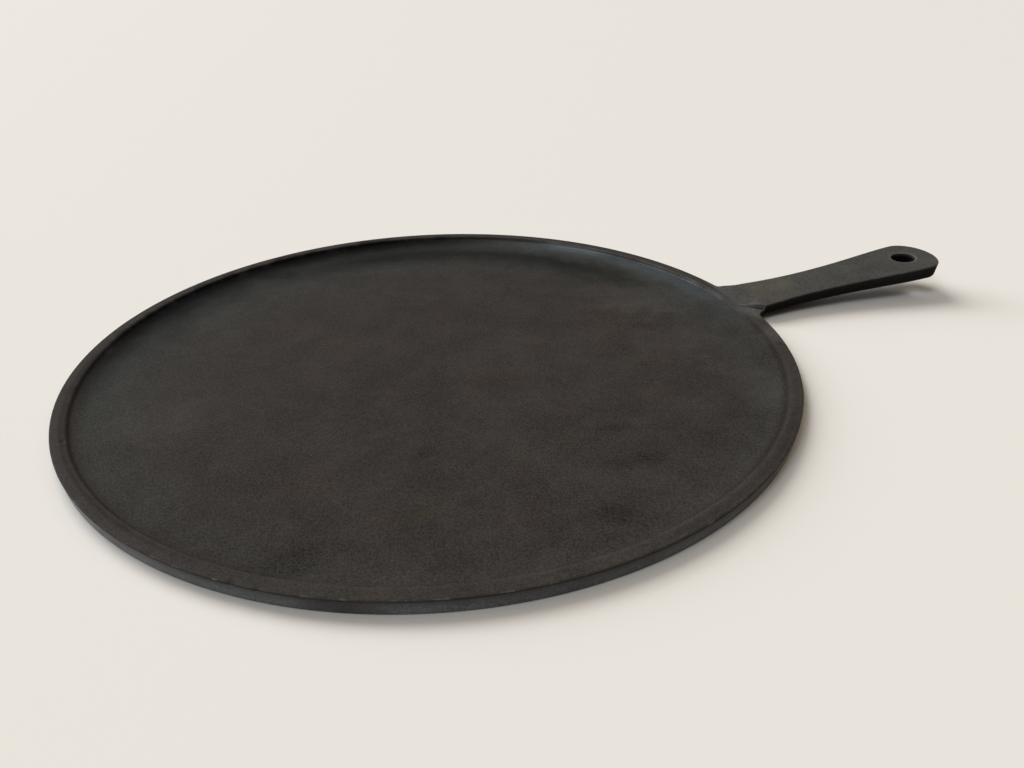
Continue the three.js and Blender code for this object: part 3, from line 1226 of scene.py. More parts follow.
def bake(piece: bpy.types.Object) -> None:
    """Turns a piece's trees into plain mesh, faces out, smooth, and sharp only where two pieces meet.

    Args:
        piece: The piece with live modifiers.
    """
    depsgraph = bpy.context.evaluated_depsgraph_get()
    mesh = bpy.data.meshes.new_from_object(
        piece.evaluated_get(depsgraph), preserve_all_data_layers=True, depsgraph=depsgraph
    )
    piece.modifiers.clear()
    piece.data = mesh
    work = bmesh.new()
    work.from_mesh(mesh)
    bmesh.ops.recalc_face_normals(work, faces=work.faces)
    if work.calc_volume(signed=True) < 0:
        bmesh.ops.reverse_faces(work, faces=work.faces)
    work.to_mesh(mesh)
    work.free()
    mesh.shade_smooth()
    mesh.set_sharp_from_angle(angle=SEAM_ANGLE)
    mesh.name = piece.name


def new_piece(node: Node, places: np.ndarray, faces: list, edges: list, layers: dict) -> bpy.types.Object:
    """Makes the object that stands for a node.

    Args:
        node: The node.
        places: Its vertices.
        faces: Its faces.
        edges: Its loose edges.
        layers: One number, or one direction, at each vertex for each layer.

    Returns:
        The object.
    """
    mesh = bpy.data.meshes.new(node.value + "_casting")
    mesh.from_pydata(places.tolist(), edges, faces)
    for layer, values in layers.items():
        kind, key = ("FLOAT_VECTOR", "vector") if values.ndim == 2 else ("FLOAT", "value")
        attribute = mesh.attributes.new(layer.value, kind, "POINT")
        attribute.data.foreach_set(key, values.astype(np.float32).ravel())
    piece = bpy.data.objects.new(mesh.name, mesh)
    bpy.context.scene.collection.objects.link(piece)
    return piece


@dataclass(frozen=True)
class Section:
    """A section in radius and height, run through anticlockwise, with its values at each point."""

    points: np.ndarray
    out: np.ndarray
    wear: np.ndarray
    grime: np.ndarray

    @staticmethod
    def normals(points: np.ndarray) -> np.ndarray:
        """Works out the outward directions along a section, level at its first and last point.

        Args:
            points: Radius and height along it.

        Returns:
            The directions in radius and height.
        """
        steps = np.diff(points, axis=0)
        steps /= np.linalg.norm(steps, axis=1, keepdims=True)
        tangent = np.concatenate([steps, steps[-1:]]) + np.concatenate([steps[:1], steps])
        tangent /= np.linalg.norm(tangent, axis=1, keepdims=True)
        return np.column_stack([tangent[:, 1], -tangent[:, 0]])


@dataclass(frozen=True)
class Sweep:
    """How far a section is swept about Z. Over a whole turn it starts and ends on the axis."""

    steps: int
    first: float = 0.0
    swept: float = math.tau

    @property
    def is_whole(self) -> bool:
        """Whether the section goes all the way round."""
        return self.swept == math.tau


@dataclass
class Foundry:
    """What all the pieces are cast with: the two forms, the trees and the finishes."""

    rim: RimForm
    handle: HandleForm
    sweep: bpy.types.NodeTree
    skin: bpy.types.NodeTree
    finishes: dict[Slot, bpy.types.Material]
    wave_height: float = 0.1 * MM
    wave_size: float = 42 * MM
    ripple_height: float = 0.03 * MM
    ripple_size: float = 5 * MM

    def swept(self, node: Node, slot: Slot, section: Section, sweep: Sweep) -> None:
        """Casts a piece from a section and sets it in place.

        Args:
            node: The node that it stands for.
            slot: The record's slot that it takes its finish from.
            section: The section.
            sweep: How far it is swept.
        """
        count = len(section.points)
        level = np.zeros(count)
        places = np.column_stack([section.points[:, 0], level, section.points[:, 1]])
        out = np.column_stack([section.out[:, 0], level, section.out[:, 1]])
        edges = [(i, i + 1) for i in range(count - 1)]
        if not sweep.is_whole:
            edges.append((count - 1, 0))
        layers = {Layer.OUT: out, Layer.WEAR: section.wear, Layer.GRIME: section.grime}
        piece = new_piece(node, places, [], edges, layers)
        sizes = {"First Angle": sweep.first, "Swept Angle": sweep.swept, "Steps": sweep.steps}
        more = {"Whole Turn": sweep.is_whole, "Material": self.finishes[slot]}
        put_tree(piece, self.sweep, {**sizes, **more})
        self.finish(piece, node, slot)

    def finish(self, piece: bpy.types.Object, node: Node, slot: Slot) -> None:
        """Roughens a piece, bakes it, and sets it in its node's place.

        Args:
            piece: The piece, with its sweep still live if it has one.
            node: The node that it stands for.
            slot: The record's slot that it takes its finish from.
        """
        waves = {"Wave Height": self.wave_height, "Wave Size": self.wave_size}
        ripples = {"Ripple Height": self.ripple_height, "Ripple Size": self.ripple_size}
        put_tree(piece, self.skin, {**waves, **ripples, "Material": self.finishes[slot]})
        bake(piece)
        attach(piece, BODY)
        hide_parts(node.value)
        LOG.info("%s: %d faces", piece.name, len(piece.data.polygons))


@dataclass
class BakingPlate:
    """The flat plate, a disc with a top, a side that the rim closes round, and an underside."""

    foundry: Foundry
    circle_steps: int = 720
    top_step: float = 2.2 * MM
    underside_step: float = 9 * MM

    def build(self) -> None:
        """Casts the plate and sets it in place."""
        rim = self.foundry.rim
        under = np.linspace(0, rim.inner_radius, math.ceil(rim.inner_radius / self.underside_step) + 1)
        top = np.linspace(rim.inner_radius, 0, math.ceil(rim.inner_radius / self.top_step) + 1)
        radii = np.concatenate([under, top])
        on_top = np.repeat([0.0, 1.0], [len(under), len(top)])
        points = np.column_stack([radii, rim.plate_height * on_top])
        out = np.column_stack([0 * radii, 2 * on_top - 1])
        section = Section(points, out, 0 * radii, 0 * radii)
        self.foundry.swept(Node.PLATE, Slot.PLATE, section, Sweep(self.circle_steps))


@dataclass
class RaisedRim:
    """The rim, from one side of the handle's root round to the other."""

    foundry: Foundry
    root_half_angle: float
    step_angle: float = math.radians(0.25)
    floor_steps: int = 4

    def build(self) -> None:
        """Casts the rim and sets it in place."""
        rim = self.foundry.rim
        edge = rim.outer_edge()
        outer = np.column_stack([rim.outer_radius - edge.inset, rim.height * (1 - edge.fall)])[::-1]
        top = rim.top_points()[1:]
        floor = np.linspace(rim.inner_radius, rim.underside_radius, self.floor_steps + 1)[:-1]
        points = np.concatenate([np.column_stack([floor, 0 * floor]), outer, top])
        wear = np.concatenate([0 * floor, edge.wear[::-1], rim.top_wear(top[:, 0])])
        grime = np.concatenate([0 * floor, edge.grime[::-1], rim.top_grime(top[:, 0])])
        section = Section(points, Section.normals(points), wear, grime)
        swept = math.tau - 2 * self.root_half_angle
        sweep = Sweep(round(swept / self.step_angle), self.root_half_angle, swept)
        self.foundry.swept(Node.RIM, Slot.RIM, section, sweep)


# Bodies stacked from outlines

CUT_STEPS = 40
CUT_SHARES = np.arange(1, CUT_STEPS) / CUT_STEPS
SIDE_STEP = 0.8 * MM
STRETCH_VALUES = ("place", "out", "wear", "grime")
LEAST_SQUARE = 1e-18


@dataclass
class Stretch:
    """A stretch of an outline, with its places, outward directions, wear and painted shade at each level."""

    place: np.ndarray
    out: np.ndarray
    wear: np.ndarray
    grime: np.ndarray

    @classmethod
    def bare(cls, place: np.ndarray, out: np.ndarray) -> "Stretch":
        """A stretch with no wear and no painted shade."""
        return cls(place, out, np.zeros(place.shape[:2]), np.zeros(place.shape[:2]))

    @classmethod
    def joined(cls, parts: list["Stretch"]) -> "Stretch":
        """Joins stretches end to end."""
        rows = ([getattr(part, name) for part in parts] for name in STRETCH_VALUES)
        return cls(*[np.concatenate(row, axis=1) for row in rows])

    def backward(self) -> "Stretch":
        """The same stretch, run through the other way."""
        return Stretch(*[getattr(self, name)[:, ::-1] for name in STRETCH_VALUES])

    def mirrored(self) -> "Stretch":
        """The same stretch on the other side of the handle, run through the other way."""
        back = self.backward()
        return Stretch(back.place * (1, -1, 1), back.out * (1, -1, 1), back.wear, back.grime)


def seam(start: Stretch, end: Stretch, shares: np.ndarray, heights: np.ndarray | None = None) -> Stretch:
    """Draws a straight run between two corners, where a body meets its neighbour.

    Args:
        start: A stretch whose last point is the first corner.
        end: A stretch whose first point is the second corner.
        shares: Where the points lie between the corners.
        heights: Heights of the top face at those points, or None to run straight.

    Returns:
        The run without its corners.
    """
    a = start.place[:, -1:]
    b = end.place[:, :1]
    fall = (a[:1, :, 2] - a[:, :, 2]) / (a[0, 0, 2] - a[-1, 0, 2])
    place = between(a, b, shares[None, :, None])
    if heights is not None:
        place[:, :, 2] = heights * (1 - fall)
    out = np.zeros_like(place)
    out[:, :, 2] = 1 - 2 * fall
    return Stretch.bare(place, out)


def edge_stretch(
    base: np.ndarray, shift: np.ndarray, edges: list[EdgeLevels], top: Heights, low: Heights
) -> Stretch:
    """Stacks the levels of an edge along an outline.

    Args:
        base: Places of the outline in plan.
        shift: Outward directions in plan that the insets are measured along.
        edges: The edge at each place.
        top: Height of the top face.
        low: Height of the underside.

    Returns:
        The stretch.
    """
    levels = (np.stack([getattr(edge, name) for edge in edges], axis=1) for name in EDGE_VALUES)
    inset, fall, tilt, wear, grime = levels
    plan = base - inset[:, :, None] * shift
    height = between(top(plan[0]), low(plan[-1]), fall)
    out = np.concatenate([np.cos(tilt)[:, :, None] * shift, np.sin(tilt)[:, :, None]], axis=2)
    return Stretch(np.concatenate([plan, height[:, :, None]], axis=2), out, wear, grime)


def handle_side(form: HandleForm, start: float, end: float) -> Stretch:
    """Draws one straight side of the handle, the one toward -Y.

    Args:
        form: The handle.
        start: Where it starts along the handle.
        end: Where it ends.

    Returns:
        The side, run through toward the handle's tip.
    """
    x = np.linspace(start, end, math.ceil((end - start) / SIDE_STEP) + 1)
    base = np.column_stack([x, -form.half_width(x)])
    shift = np.tile([0.0, -1.0], (len(x), 1))
    return edge_stretch(base, shift, [form.edge(value) for value in x], form.top, form.underside)


def no_layer(plan: np.ndarray) -> np.ndarray:
    """No wear or painted shade."""
    return np.zeros(len(plan))


@dataclass
class StackedBody:
    """A closed body: a stack of outlines between a top face and an underside, with any holes."""

    node: Node
    outline: Stretch
    top: Heights
    underside: Heights
    top_wear: Heights = no_layer
    top_grime: Heights = no_layer
    holes: list[Stretch] = field(default_factory=list)
    top_lines: list[np.ndarray] = field(default_factory=list)
    underside_lines: list[np.ndarray] = field(default_factory=list)
    spacing: float = 0.8 * MM
    underside_spacing: float = 2.0 * MM
    slope_step: float = 0.05 * MM
    line_gap: float = 0.3
    point_gap: float = 0.45
    merge_distance: float = 0.0001 * MM

    def _face(
        self, loops: list[np.ndarray], lines: list[np.ndarray], spacing: float
    ) -> tuple[np.ndarray, list]:
        """Fills an outline and leaves its holes open.

        Args:
            loops: The outline, then the holes, as places in plan.
            lines: Lines that the face's edges follow.
            spacing: Distance between the points inside.

        Returns:
            The inner points, and triangles whose indices run through the loops and then those points.
        """
        borders = np.concatenate([np.stack([loop, np.roll(loop, -1, axis=0)], axis=1) for loop in loops])
        gap = self.line_gap * spacing
        lines = [line[self._inside(line, borders) & (self._away(line, borders) > gap)] for line in lines]
        used = [np.stack([line[:-1], line[1:]], axis=1) for line in lines if len(line) > 1]
        low = loops[0].min(axis=0)
        high = loops[0].max(axis=0)
        xs = np.arange(low[0], high[0], spacing * math.sqrt(3) / 2)
        ys = np.arange(low[1], high[1], spacing)
        grid = np.array([(x, y + (i % 2) * spacing / 2) for i, x in enumerate(xs) for y in ys])
        grid = grid[self._inside(grid, borders)]
        grid = grid[self._away(grid, np.concatenate([borders, *used])) > self.point_gap * spacing]
        inner = np.concatenate([*lines, grid])
        ends = np.cumsum([0, *map(len, loops), *map(len, lines)]).tolist()
        runs = [list(range(start, end)) for start, end in zip(ends, ends[1:])]
        rings = [run if i == 0 else run[::-1] for i, run in enumerate(runs[: len(loops)])]
        edges = [pair for run in runs[len(loops) :] for pair in zip(run, run[1:])]
        places = [Vector(place) for place in np.concatenate([*loops, inner])]
        result = delaunay_2d_cdt(places, edges, rings, 0, self.merge_distance, True)
        _, _, made, sources, _, owners = result
        filled = [face for face, inside_of in zip(made, owners) if list(inside_of) == [0]]
        return inner, [[sources[i][0] for i in face] for face in filled]

    @staticmethod
    def _inside(points: np.ndarray, borders: np.ndarray) -> np.ndarray:
        """Finds which points lie inside closed borders, by how often a ray crosses them.

        Args:
            points: The points in plan.
            borders: Both ends of each stretch of border.

        Returns:
            Whether each point is inside.
        """
        x, y = points[:, None, 0], points[:, None, 1]
        ax, ay = borders[None, :, 0, 0], borders[None, :, 0, 1]
        bx, by = borders[None, :, 1, 0], borders[None, :, 1, 1]
        rise = np.where(by == ay, 1.0, by - ay)
        crossed = ((ay > y) != (by > y)) & (x < ax + (y - ay) * (bx - ax) / rise)
        return crossed.sum(axis=1) % 2 == 1

    @staticmethod
    def _away(points: np.ndarray, borders: np.ndarray) -> np.ndarray:
        """Measures how far points are from the nearest border.

        Args:
            points: The points in plan.
            borders: Both ends of each stretch of border.

        Returns:
            The distances.
        """
        run = borders[None, :, 1] - borders[None, :, 0]
        offset = points[:, None] - borders[None, :, 0]
        length = np.maximum((run**2).sum(axis=2), LEAST_SQUARE)
        share = np.clip((offset * run).sum(axis=2) / length, 0, 1)
        return np.sqrt(((offset - run * share[:, :, None]) ** 2).sum(axis=2)).min(axis=1)

    def _slopes(self, height: Heights, plan: np.ndarray) -> np.ndarray:
        """Works out upward directions square to a face.

        Args:
            height: The height of the face.
            plan: Places in plan.

        Returns:
            The directions.
        """
        steps = ((self.slope_step, 0), (0, self.slope_step))
        slopes = [(height(plan + step) - height(plan - step)) / (2 * self.slope_step) for step in steps]
        out = np.column_stack([-slopes[0], -slopes[1], np.ones(len(plan))])
        return out / np.linalg.norm(out, axis=1, keepdims=True)

    def cast(self) -> bpy.types.Object:
        """Makes the body's mesh with its layers.

        Returns:
            The piece.
        """
        parts = []
        faces = []
        tops = []
        bottoms = []
        first = 0
        stacks = [self.outline, *self.holes]
        for stack in stacks:
            grid = first + np.arange(stack.wear.size).reshape(stack.wear.shape)
            ahead = np.roll(grid, -1, axis=1)
            faces += np.stack([grid[:-1], grid[1:], ahead[1:], ahead[:-1]], axis=2).reshape(-1, 4).tolist()
            layers = [getattr(stack, name) for name in STRETCH_VALUES]
            parts.append([values.reshape(-1, *values.shape[2:]) for values in layers])
            tops += grid[0].tolist()
            bottoms += grid[-1].tolist()
            first += grid.size
        top = (0, tops, self.top, self.top_wear, self.top_grime, self.top_lines, self.spacing, 1)
        looks = (self.underside, no_layer, no_layer, self.underside_lines, self.underside_spacing)
        low = (-1, bottoms, *looks, -1)
        for level, border, height, wear, grime, lines, spacing, up in (top, low):
            inner, triangles = self._face([stack.place[level, :, :2] for stack in stacks], lines, spacing)
            index = np.array(border + list(range(first, first + len(inner))))
            faces += index[triangles][:, ::up].tolist()
            place = np.column_stack([inner, height(inner)])
            parts.append((place, self._slopes(height, inner) * up, wear(inner), grime(inner)))
            first += len(inner)
        place, out, wear, grime = (np.concatenate(values) for values in zip(*parts))
        out[tops] = self._slopes(self.top, place[tops, :2])
        return new_piece(self.node, place, faces, [], {Layer.OUT: out, Layer.WEAR: wear, Layer.GRIME: grime})


@dataclass
class HandleRoot:
    """The stretch of rim that carries the handle, its fillets, and the handle's first stretch."""

    foundry: Foundry
    fillet_radius: float = 9 * MM
    web_drop: float = 0.35 * MM
    root_blend: float = 9 * MM
    near_line_start: tuple[float, float] = (160.0 * MM, -6.1 * MM)
    near_line_end: tuple[float, float] = (172.0 * MM, -16.8 * MM)
    near_line_width: float = 1.1 * MM
    far_line_start: tuple[float, float] = (160.4 * MM, 18.4 * MM)
    far_line_end: tuple[float, float] = (164.0 * MM, 24.0 * MM)
    far_line_width: float = 5 * MM
    handle_edge_wear: float = 0.5
    fillet_wear: float = 0.55
    fillet_widths: Span = (1.5, 3.0)
    # Painted shadow line along the foot of the handle's near edge
    line_grime: float = 0.9
    arc_step: float = math.radians(0.25)
    inner_step: float = math.radians(0.5)
    fillet_steps: int = 34
    under_web: float = 0.45 * MM
    foot_shares: tuple[float, ...] = (0.0, 0.4, 0.75, 1.0)
    climb_shares: tuple[float, ...] = (0.0, 0.06, 0.28, 0.9, 1.0)
    spacing: float = 0.5 * MM

    @property
    def half_angle(self) -> float:
        """Half the angle of rim that the root takes up, from the frame."""
        return math.asin(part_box(Node.ROOT.value)[1].y / self.foundry.rim.outer_radius)

    @property
    def wall_radii(self) -> np.ndarray:
        """Works out the radii that the step of the underside passes through.

        Returns:
            The radii, from the foot outwards.
        """
        rim = self.foundry.rim
        foot = rim.underside_radius + rim.foot_round * np.array(self.foot_shares)
        return np.append(foot, rim.foot_radius + self.under_web)

    @staticmethod
    def _past_line(plan: np.ndarray, start: tuple[float, float], end: tuple[float, float]) -> np.ndarray:
        """Measures how far places lie past a line.

        Args:
            plan: The places.
            start: Where the line starts.
            end: Where it ends.

        Returns:
            The distances, positive on the left of its way.
        """
        run = np.subtract(end, start)
        run /= np.linalg.norm(run)
        offset = plan - start
        return run[0] * offset[:, 1] - run[1] * offset[:, 0]

    def _near(self, plan: np.ndarray) -> np.ndarray:
        """Distance past the near edge of the handle's top."""
        return self._past_line(plan, self.near_line_start, self.near_line_end)

    def _slab(self, plan: np.ndarray) -> np.ndarray:
        """Share of the handle's top at places: 1 on the handle, 0 on the band and the fillets."""
        far = -self._past_line(plan, self.far_line_start, self.far_line_end)
        return ease(self._near(plan) / self.near_line_width) * ease(far / self.far_line_width)

    def top(self, plan: np.ndarray) -> np.ndarray:
        """Works out the top face: band, cove and fillets, with the handle's top running over them.

        Args:
            plan: Places in plan.

        Returns:
            Its heights.
        """
        rim = self.foundry.rim
        radius = np.hypot(plan[:, 0], plan[:, 1])
        slab = self._slab(plan)
        past = ease((radius - rim.band_outer) / rim.band_width)
        climb = ease((radius - rim.band_inner) / self.root_blend)
        lift = self.foundry.handle.top(plan) - rim.height
        return rim.top_height(radius) - self.web_drop * past * (1 - slab) + lift * slab * climb

    def underside(self, plan: np.ndarray) -> np.ndarray:
        """Height of the underside: flat under the rim, then up its wall to the handle's underside."""
        climb = np.interp(np.hypot(plan[:, 0], plan[:, 1]), self.wall_radii, self.climb_shares)
        return self.foundry.handle.underside(plan) * climb

    def _wear(self, plan: np.ndarray) -> np.ndarray:
        """Works out the wear of the top face, with the fillet rubbed bright beside the handle's edge.

        Args:
            plan: Places in plan.

        Returns:
            The wear, from 0 to 1.
        """
        rim = self.foundry.rim
        radius = np.hypot(plan[:, 0], plan[:, 1])
        slab = self._slab(plan)
        near = self._near(plan)
        width = self.near_line_width
        outward = ease((radius - rim.band_inner) / rim.lip_round)
        handle_edge = self.handle_edge_wear * hump(near - width, width / 2)
        beside, reach = (share * width for share in self.fillet_widths)
        fillet = self.fillet_wear * hump(near + beside, reach) * (1 - slab)
        band = rim.top_wear(radius) * (1 - slab * ease((radius - rim.band_inner) / rim.band_width))
        return np.clip(band + outward * (fillet + handle_edge), 0, 1)

    def _grime(self, plan: np.ndarray) -> np.ndarray:
        """Works out the painted shade in the crease and the painted shadow line along the foot of the
        handle's edge.

        Args:
            plan: Places in plan.

        Returns:
            The grime, from 0 to 1.
        """
        rim = self.foundry.rim
        radius = np.hypot(plan[:, 0], plan[:, 1])
        outward = ease((radius - rim.band_inner) / rim.lip_round)
        line = self.line_grime * hump(self._near(plan), self.near_line_width / 3) * outward
        return np.clip(rim.top_grime(radius) + line, 0, 1)

    def _outer_stretch(self, side: int) -> Stretch:
        """Draws the outside: the rim's outer edge, the fillet, and the handle's side.

        Args:
            side: -1 for the side toward -Y and 1 for the one toward +Y.

        Returns:
            The stretch, run through toward the handle's tip.
        """
        rim = self.foundry.rim
        form = self.foundry.handle
        reach = rim.outer_radius + self.fillet_radius
        half = float(form.half_width(reach))
        centre_y = half + self.fillet_radius
        centre = np.array([math.sqrt(reach**2 - centre_y**2), centre_y])
        touch = math.atan2(centre_y, centre[0])
        arc_steps = max(2, math.ceil((self.half_angle - touch) / self.arc_step))
        rim_out = rays(np.linspace(self.half_angle, touch, arc_steps + 1))
        to_web = rays(-np.linspace(math.pi - touch, QUARTER, self.fillet_steps + 1)[1:])
        web = centre + self.fillet_radius * to_web
        x = np.linspace(centre[0], form.root_end, math.ceil((form.root_end - centre[0]) / SIDE_STEP) + 1)[1:]
        left = 1 - ease((x - centre[0]) / (form.root_end - centre[0]))
        mismatch = web[-1, 1] - float(form.half_width(centre[0]))
        along = np.column_stack([x, form.half_width(x) + mismatch * left])
        base = np.concatenate([rim.outer_radius * rim_out, web, along])
        shift = np.concatenate([rim_out, -to_web, np.tile([0.0, 1.0], (len(x), 1))])
        web_kinds = ease(np.arange(1, self.fillet_steps + 1) / self.fillet_steps)
        kinds = np.concatenate([np.zeros(len(rim_out)), web_kinds, np.ones(len(x))])
        rim_edge = rim.outer_edge()
        edges = [rim_edge.toward(form.edge(p[0]), float(kind)) for p, kind in zip(base, kinds)]
        flip = np.array([1, side])
        return edge_stretch(base * flip, shift * flip, edges, self.top, self.underside)

    def _inner_stretch(self) -> Stretch:
        """Draws the arc where the root meets the plate.

        Returns:
            The stretch, from +Y to -Y.
        """
        rim = self.foundry.rim
        fall = rim.outer_edge().fall
        count = round(2 * self.half_angle / self.inner_step) + 1
        plan = rim.inner_radius * rays(np.linspace(self.half_angle, -self.half_angle, count))
        place = np.zeros((len(fall), count, 3))
        place[:, :, :2] = plan
        place[:, :, 2] = (rim.plate_height * (1 - fall))[:, None]
        out = np.zeros_like(place)
        out[:, :, 2] = (1 - 2 * fall)[:, None]
        return Stretch.bare(place, out)

    def build(self) -> None:
        """Casts the root and sets it in place."""
        rim = self.foundry.rim
        inner = self._inner_stretch()
        near = self._outer_stretch(-1)
        far = self._outer_stretch(1).backward()
        top = rim.top_points()[1:-1]
        shares = (top[:, 0] - rim.inner_radius) / (rim.band_outer - rim.inner_radius)
        near_seam = seam(inner, near, shares[::-1], top[::-1, 1])
        far_seam = seam(far, inner, 1 - shares, top[:, 1])
        for run, radii in ((near_seam, top[::-1, 0]), (far_seam, top[:, 0])):
            run.wear[0] = rim.top_wear(radii)
            run.grime[0] = rim.top_grime(radii)
        arc = rays(np.arange(-self.half_angle, self.half_angle, self.arc_step)[1:])
        body = StackedBody(
            Node.ROOT,
            Stretch.joined([inner, near_seam, near, seam(near, far, CUT_SHARES), far, far_seam]),
            self.top,
            self.underside,
            self._wear,
            self._grime,
            top_lines=[radius * arc for radius in top[rim.band_steps - 1 :, 0]],
            underside_lines=[radius * arc for radius in self.wall_radii],
            spacing=self.spacing,
        )
        self.foundry.finish(body.cast(), Node.ROOT, Slot.HANDLE)


@dataclass
class HandleShank:
    """The waisted bar between the root and the eye."""

    foundry: Foundry

    def build(self) -> None:
        """Casts the shank and sets it in place."""
        form = self.foundry.handle
        side = handle_side(form, form.root_end, form.shank_end)
        far = side.mirrored()
        outline = Stretch.joined([side, seam(side, far, CUT_SHARES), far, seam(far, side, CUT_SHARES)])
        body = StackedBody(Node.SHANK, outline, form.top, form.underside)
        self.foundry.finish(body.cast(), Node.SHANK, Slot.HANDLE)


@dataclass
class HangingEye:
    """The wider rounded end with its hole."""

    foundry: Foundry
    hole_diameter: float = 12.2 * MM
    hole_to_tip: float = 16.4 * MM
    bevel: float = 1.1 * MM
    bevel_depth: float = 0.5 * MM
    mouth_wear: float = 0.45
    bevel_wear: float = 0.55
    end_steps: int = 64
    hole_steps: int = 72
    bevel_steps: int = 5
    bore_steps: int = 3

    def _end(self) -> Stretch:
        """Draws the rounded end.

        Returns:
            The stretch, from -Y to +Y.
        """
        form = self.foundry.handle
        shift = rays(np.linspace(-QUARTER, QUARTER, self.end_steps + 1)[1:-1])
        base = (form.eye_centre, 0.0) + shift * (form.eye_round, form.eye_half_width)
        return edge_stretch(base, shift, [form.edge(x) for x in base[:, 0]], form.top, form.underside)

    def _hole(self) -> Stretch:
        """Draws the hole, with a worn bevel at both mouths.

        Returns:
            The stretch, run through clockwise.
        """
        form = self.foundry.handle
        centre = (form.tip - self.hole_to_tip, 0.0)
        ray = rays(np.linspace(math.tau, 0, self.hole_steps + 1)[:-1])
        bend = np.linspace(0, QUARTER, self.bevel_steps + 1)
        bore = np.zeros(self.bore_steps)
        width = self.bevel * (1 - np.sin(bend))
        widths = np.concatenate([width, bore, width[::-1]])
        depth = form.thickness(centre[0])
        mouth = self.bevel_depth * (1 - np.cos(bend))
        bore_depths = np.linspace(self.bevel_depth, depth - self.bevel_depth, self.bore_steps + 2)[1:-1]
        falls = np.concatenate([mouth, bore_depths, depth - mouth[::-1]]) / depth
        tilts = np.concatenate([QUARTER - bend, bore, bend[::-1] - QUARTER])
        plan = centre + (self.hole_diameter / 2 + widths)[:, None, None] * ray
        height = between(form.top(plan), form.underside(plan), falls[:, None])
        place = np.concatenate([plan, height[:, :, None]], axis=2)
        up = np.tile(np.sin(tilts)[:, None, None], (1, self.hole_steps, 1))
        out = np.concatenate([-np.cos(tilts)[:, None, None] * ray, up], axis=2)
        wear = np.concatenate([self.mouth_wear + self.bevel_wear * np.sin(2 * bend), bore, 0 * bend])
        # The bore and the lower mouth are darkened all round: painted shade inside the hole
        grime = np.concatenate([ease(2 * bend / QUARTER - 1), bore + 1, 0 * bend + 1])
        all_round = np.ones(self.hole_steps)
        return Stretch(place, out, np.outer(wear, all_round), np.outer(grime, all_round))

    def build(self) -> None:
        """Casts the eye and sets it in place."""
        form = self.foundry.handle
        side = handle_side(form, form.shank_end, form.eye_centre)
        far = side.mirrored()
        outline = Stretch.joined([side, self._end(), far, seam(far, side, CUT_SHARES)])
        body = StackedBody(Node.EYE, outline, form.top, form.underside, holes=[self._hole()])
        self.foundry.finish(body.cast(), Node.EYE, Slot.HANDLE)


# Studio


@dataclass(frozen=True)
class Lamp:
    """A soft far lamp: where it stands round the photograph's frame, how high and how wide, in degrees.

    Its level is the light that it throws on the floor, where 1 shows a colour as it is written.
    """

    name: str
    turn: float
    lift: float
    spread: float
    level: float
    colour: Colour


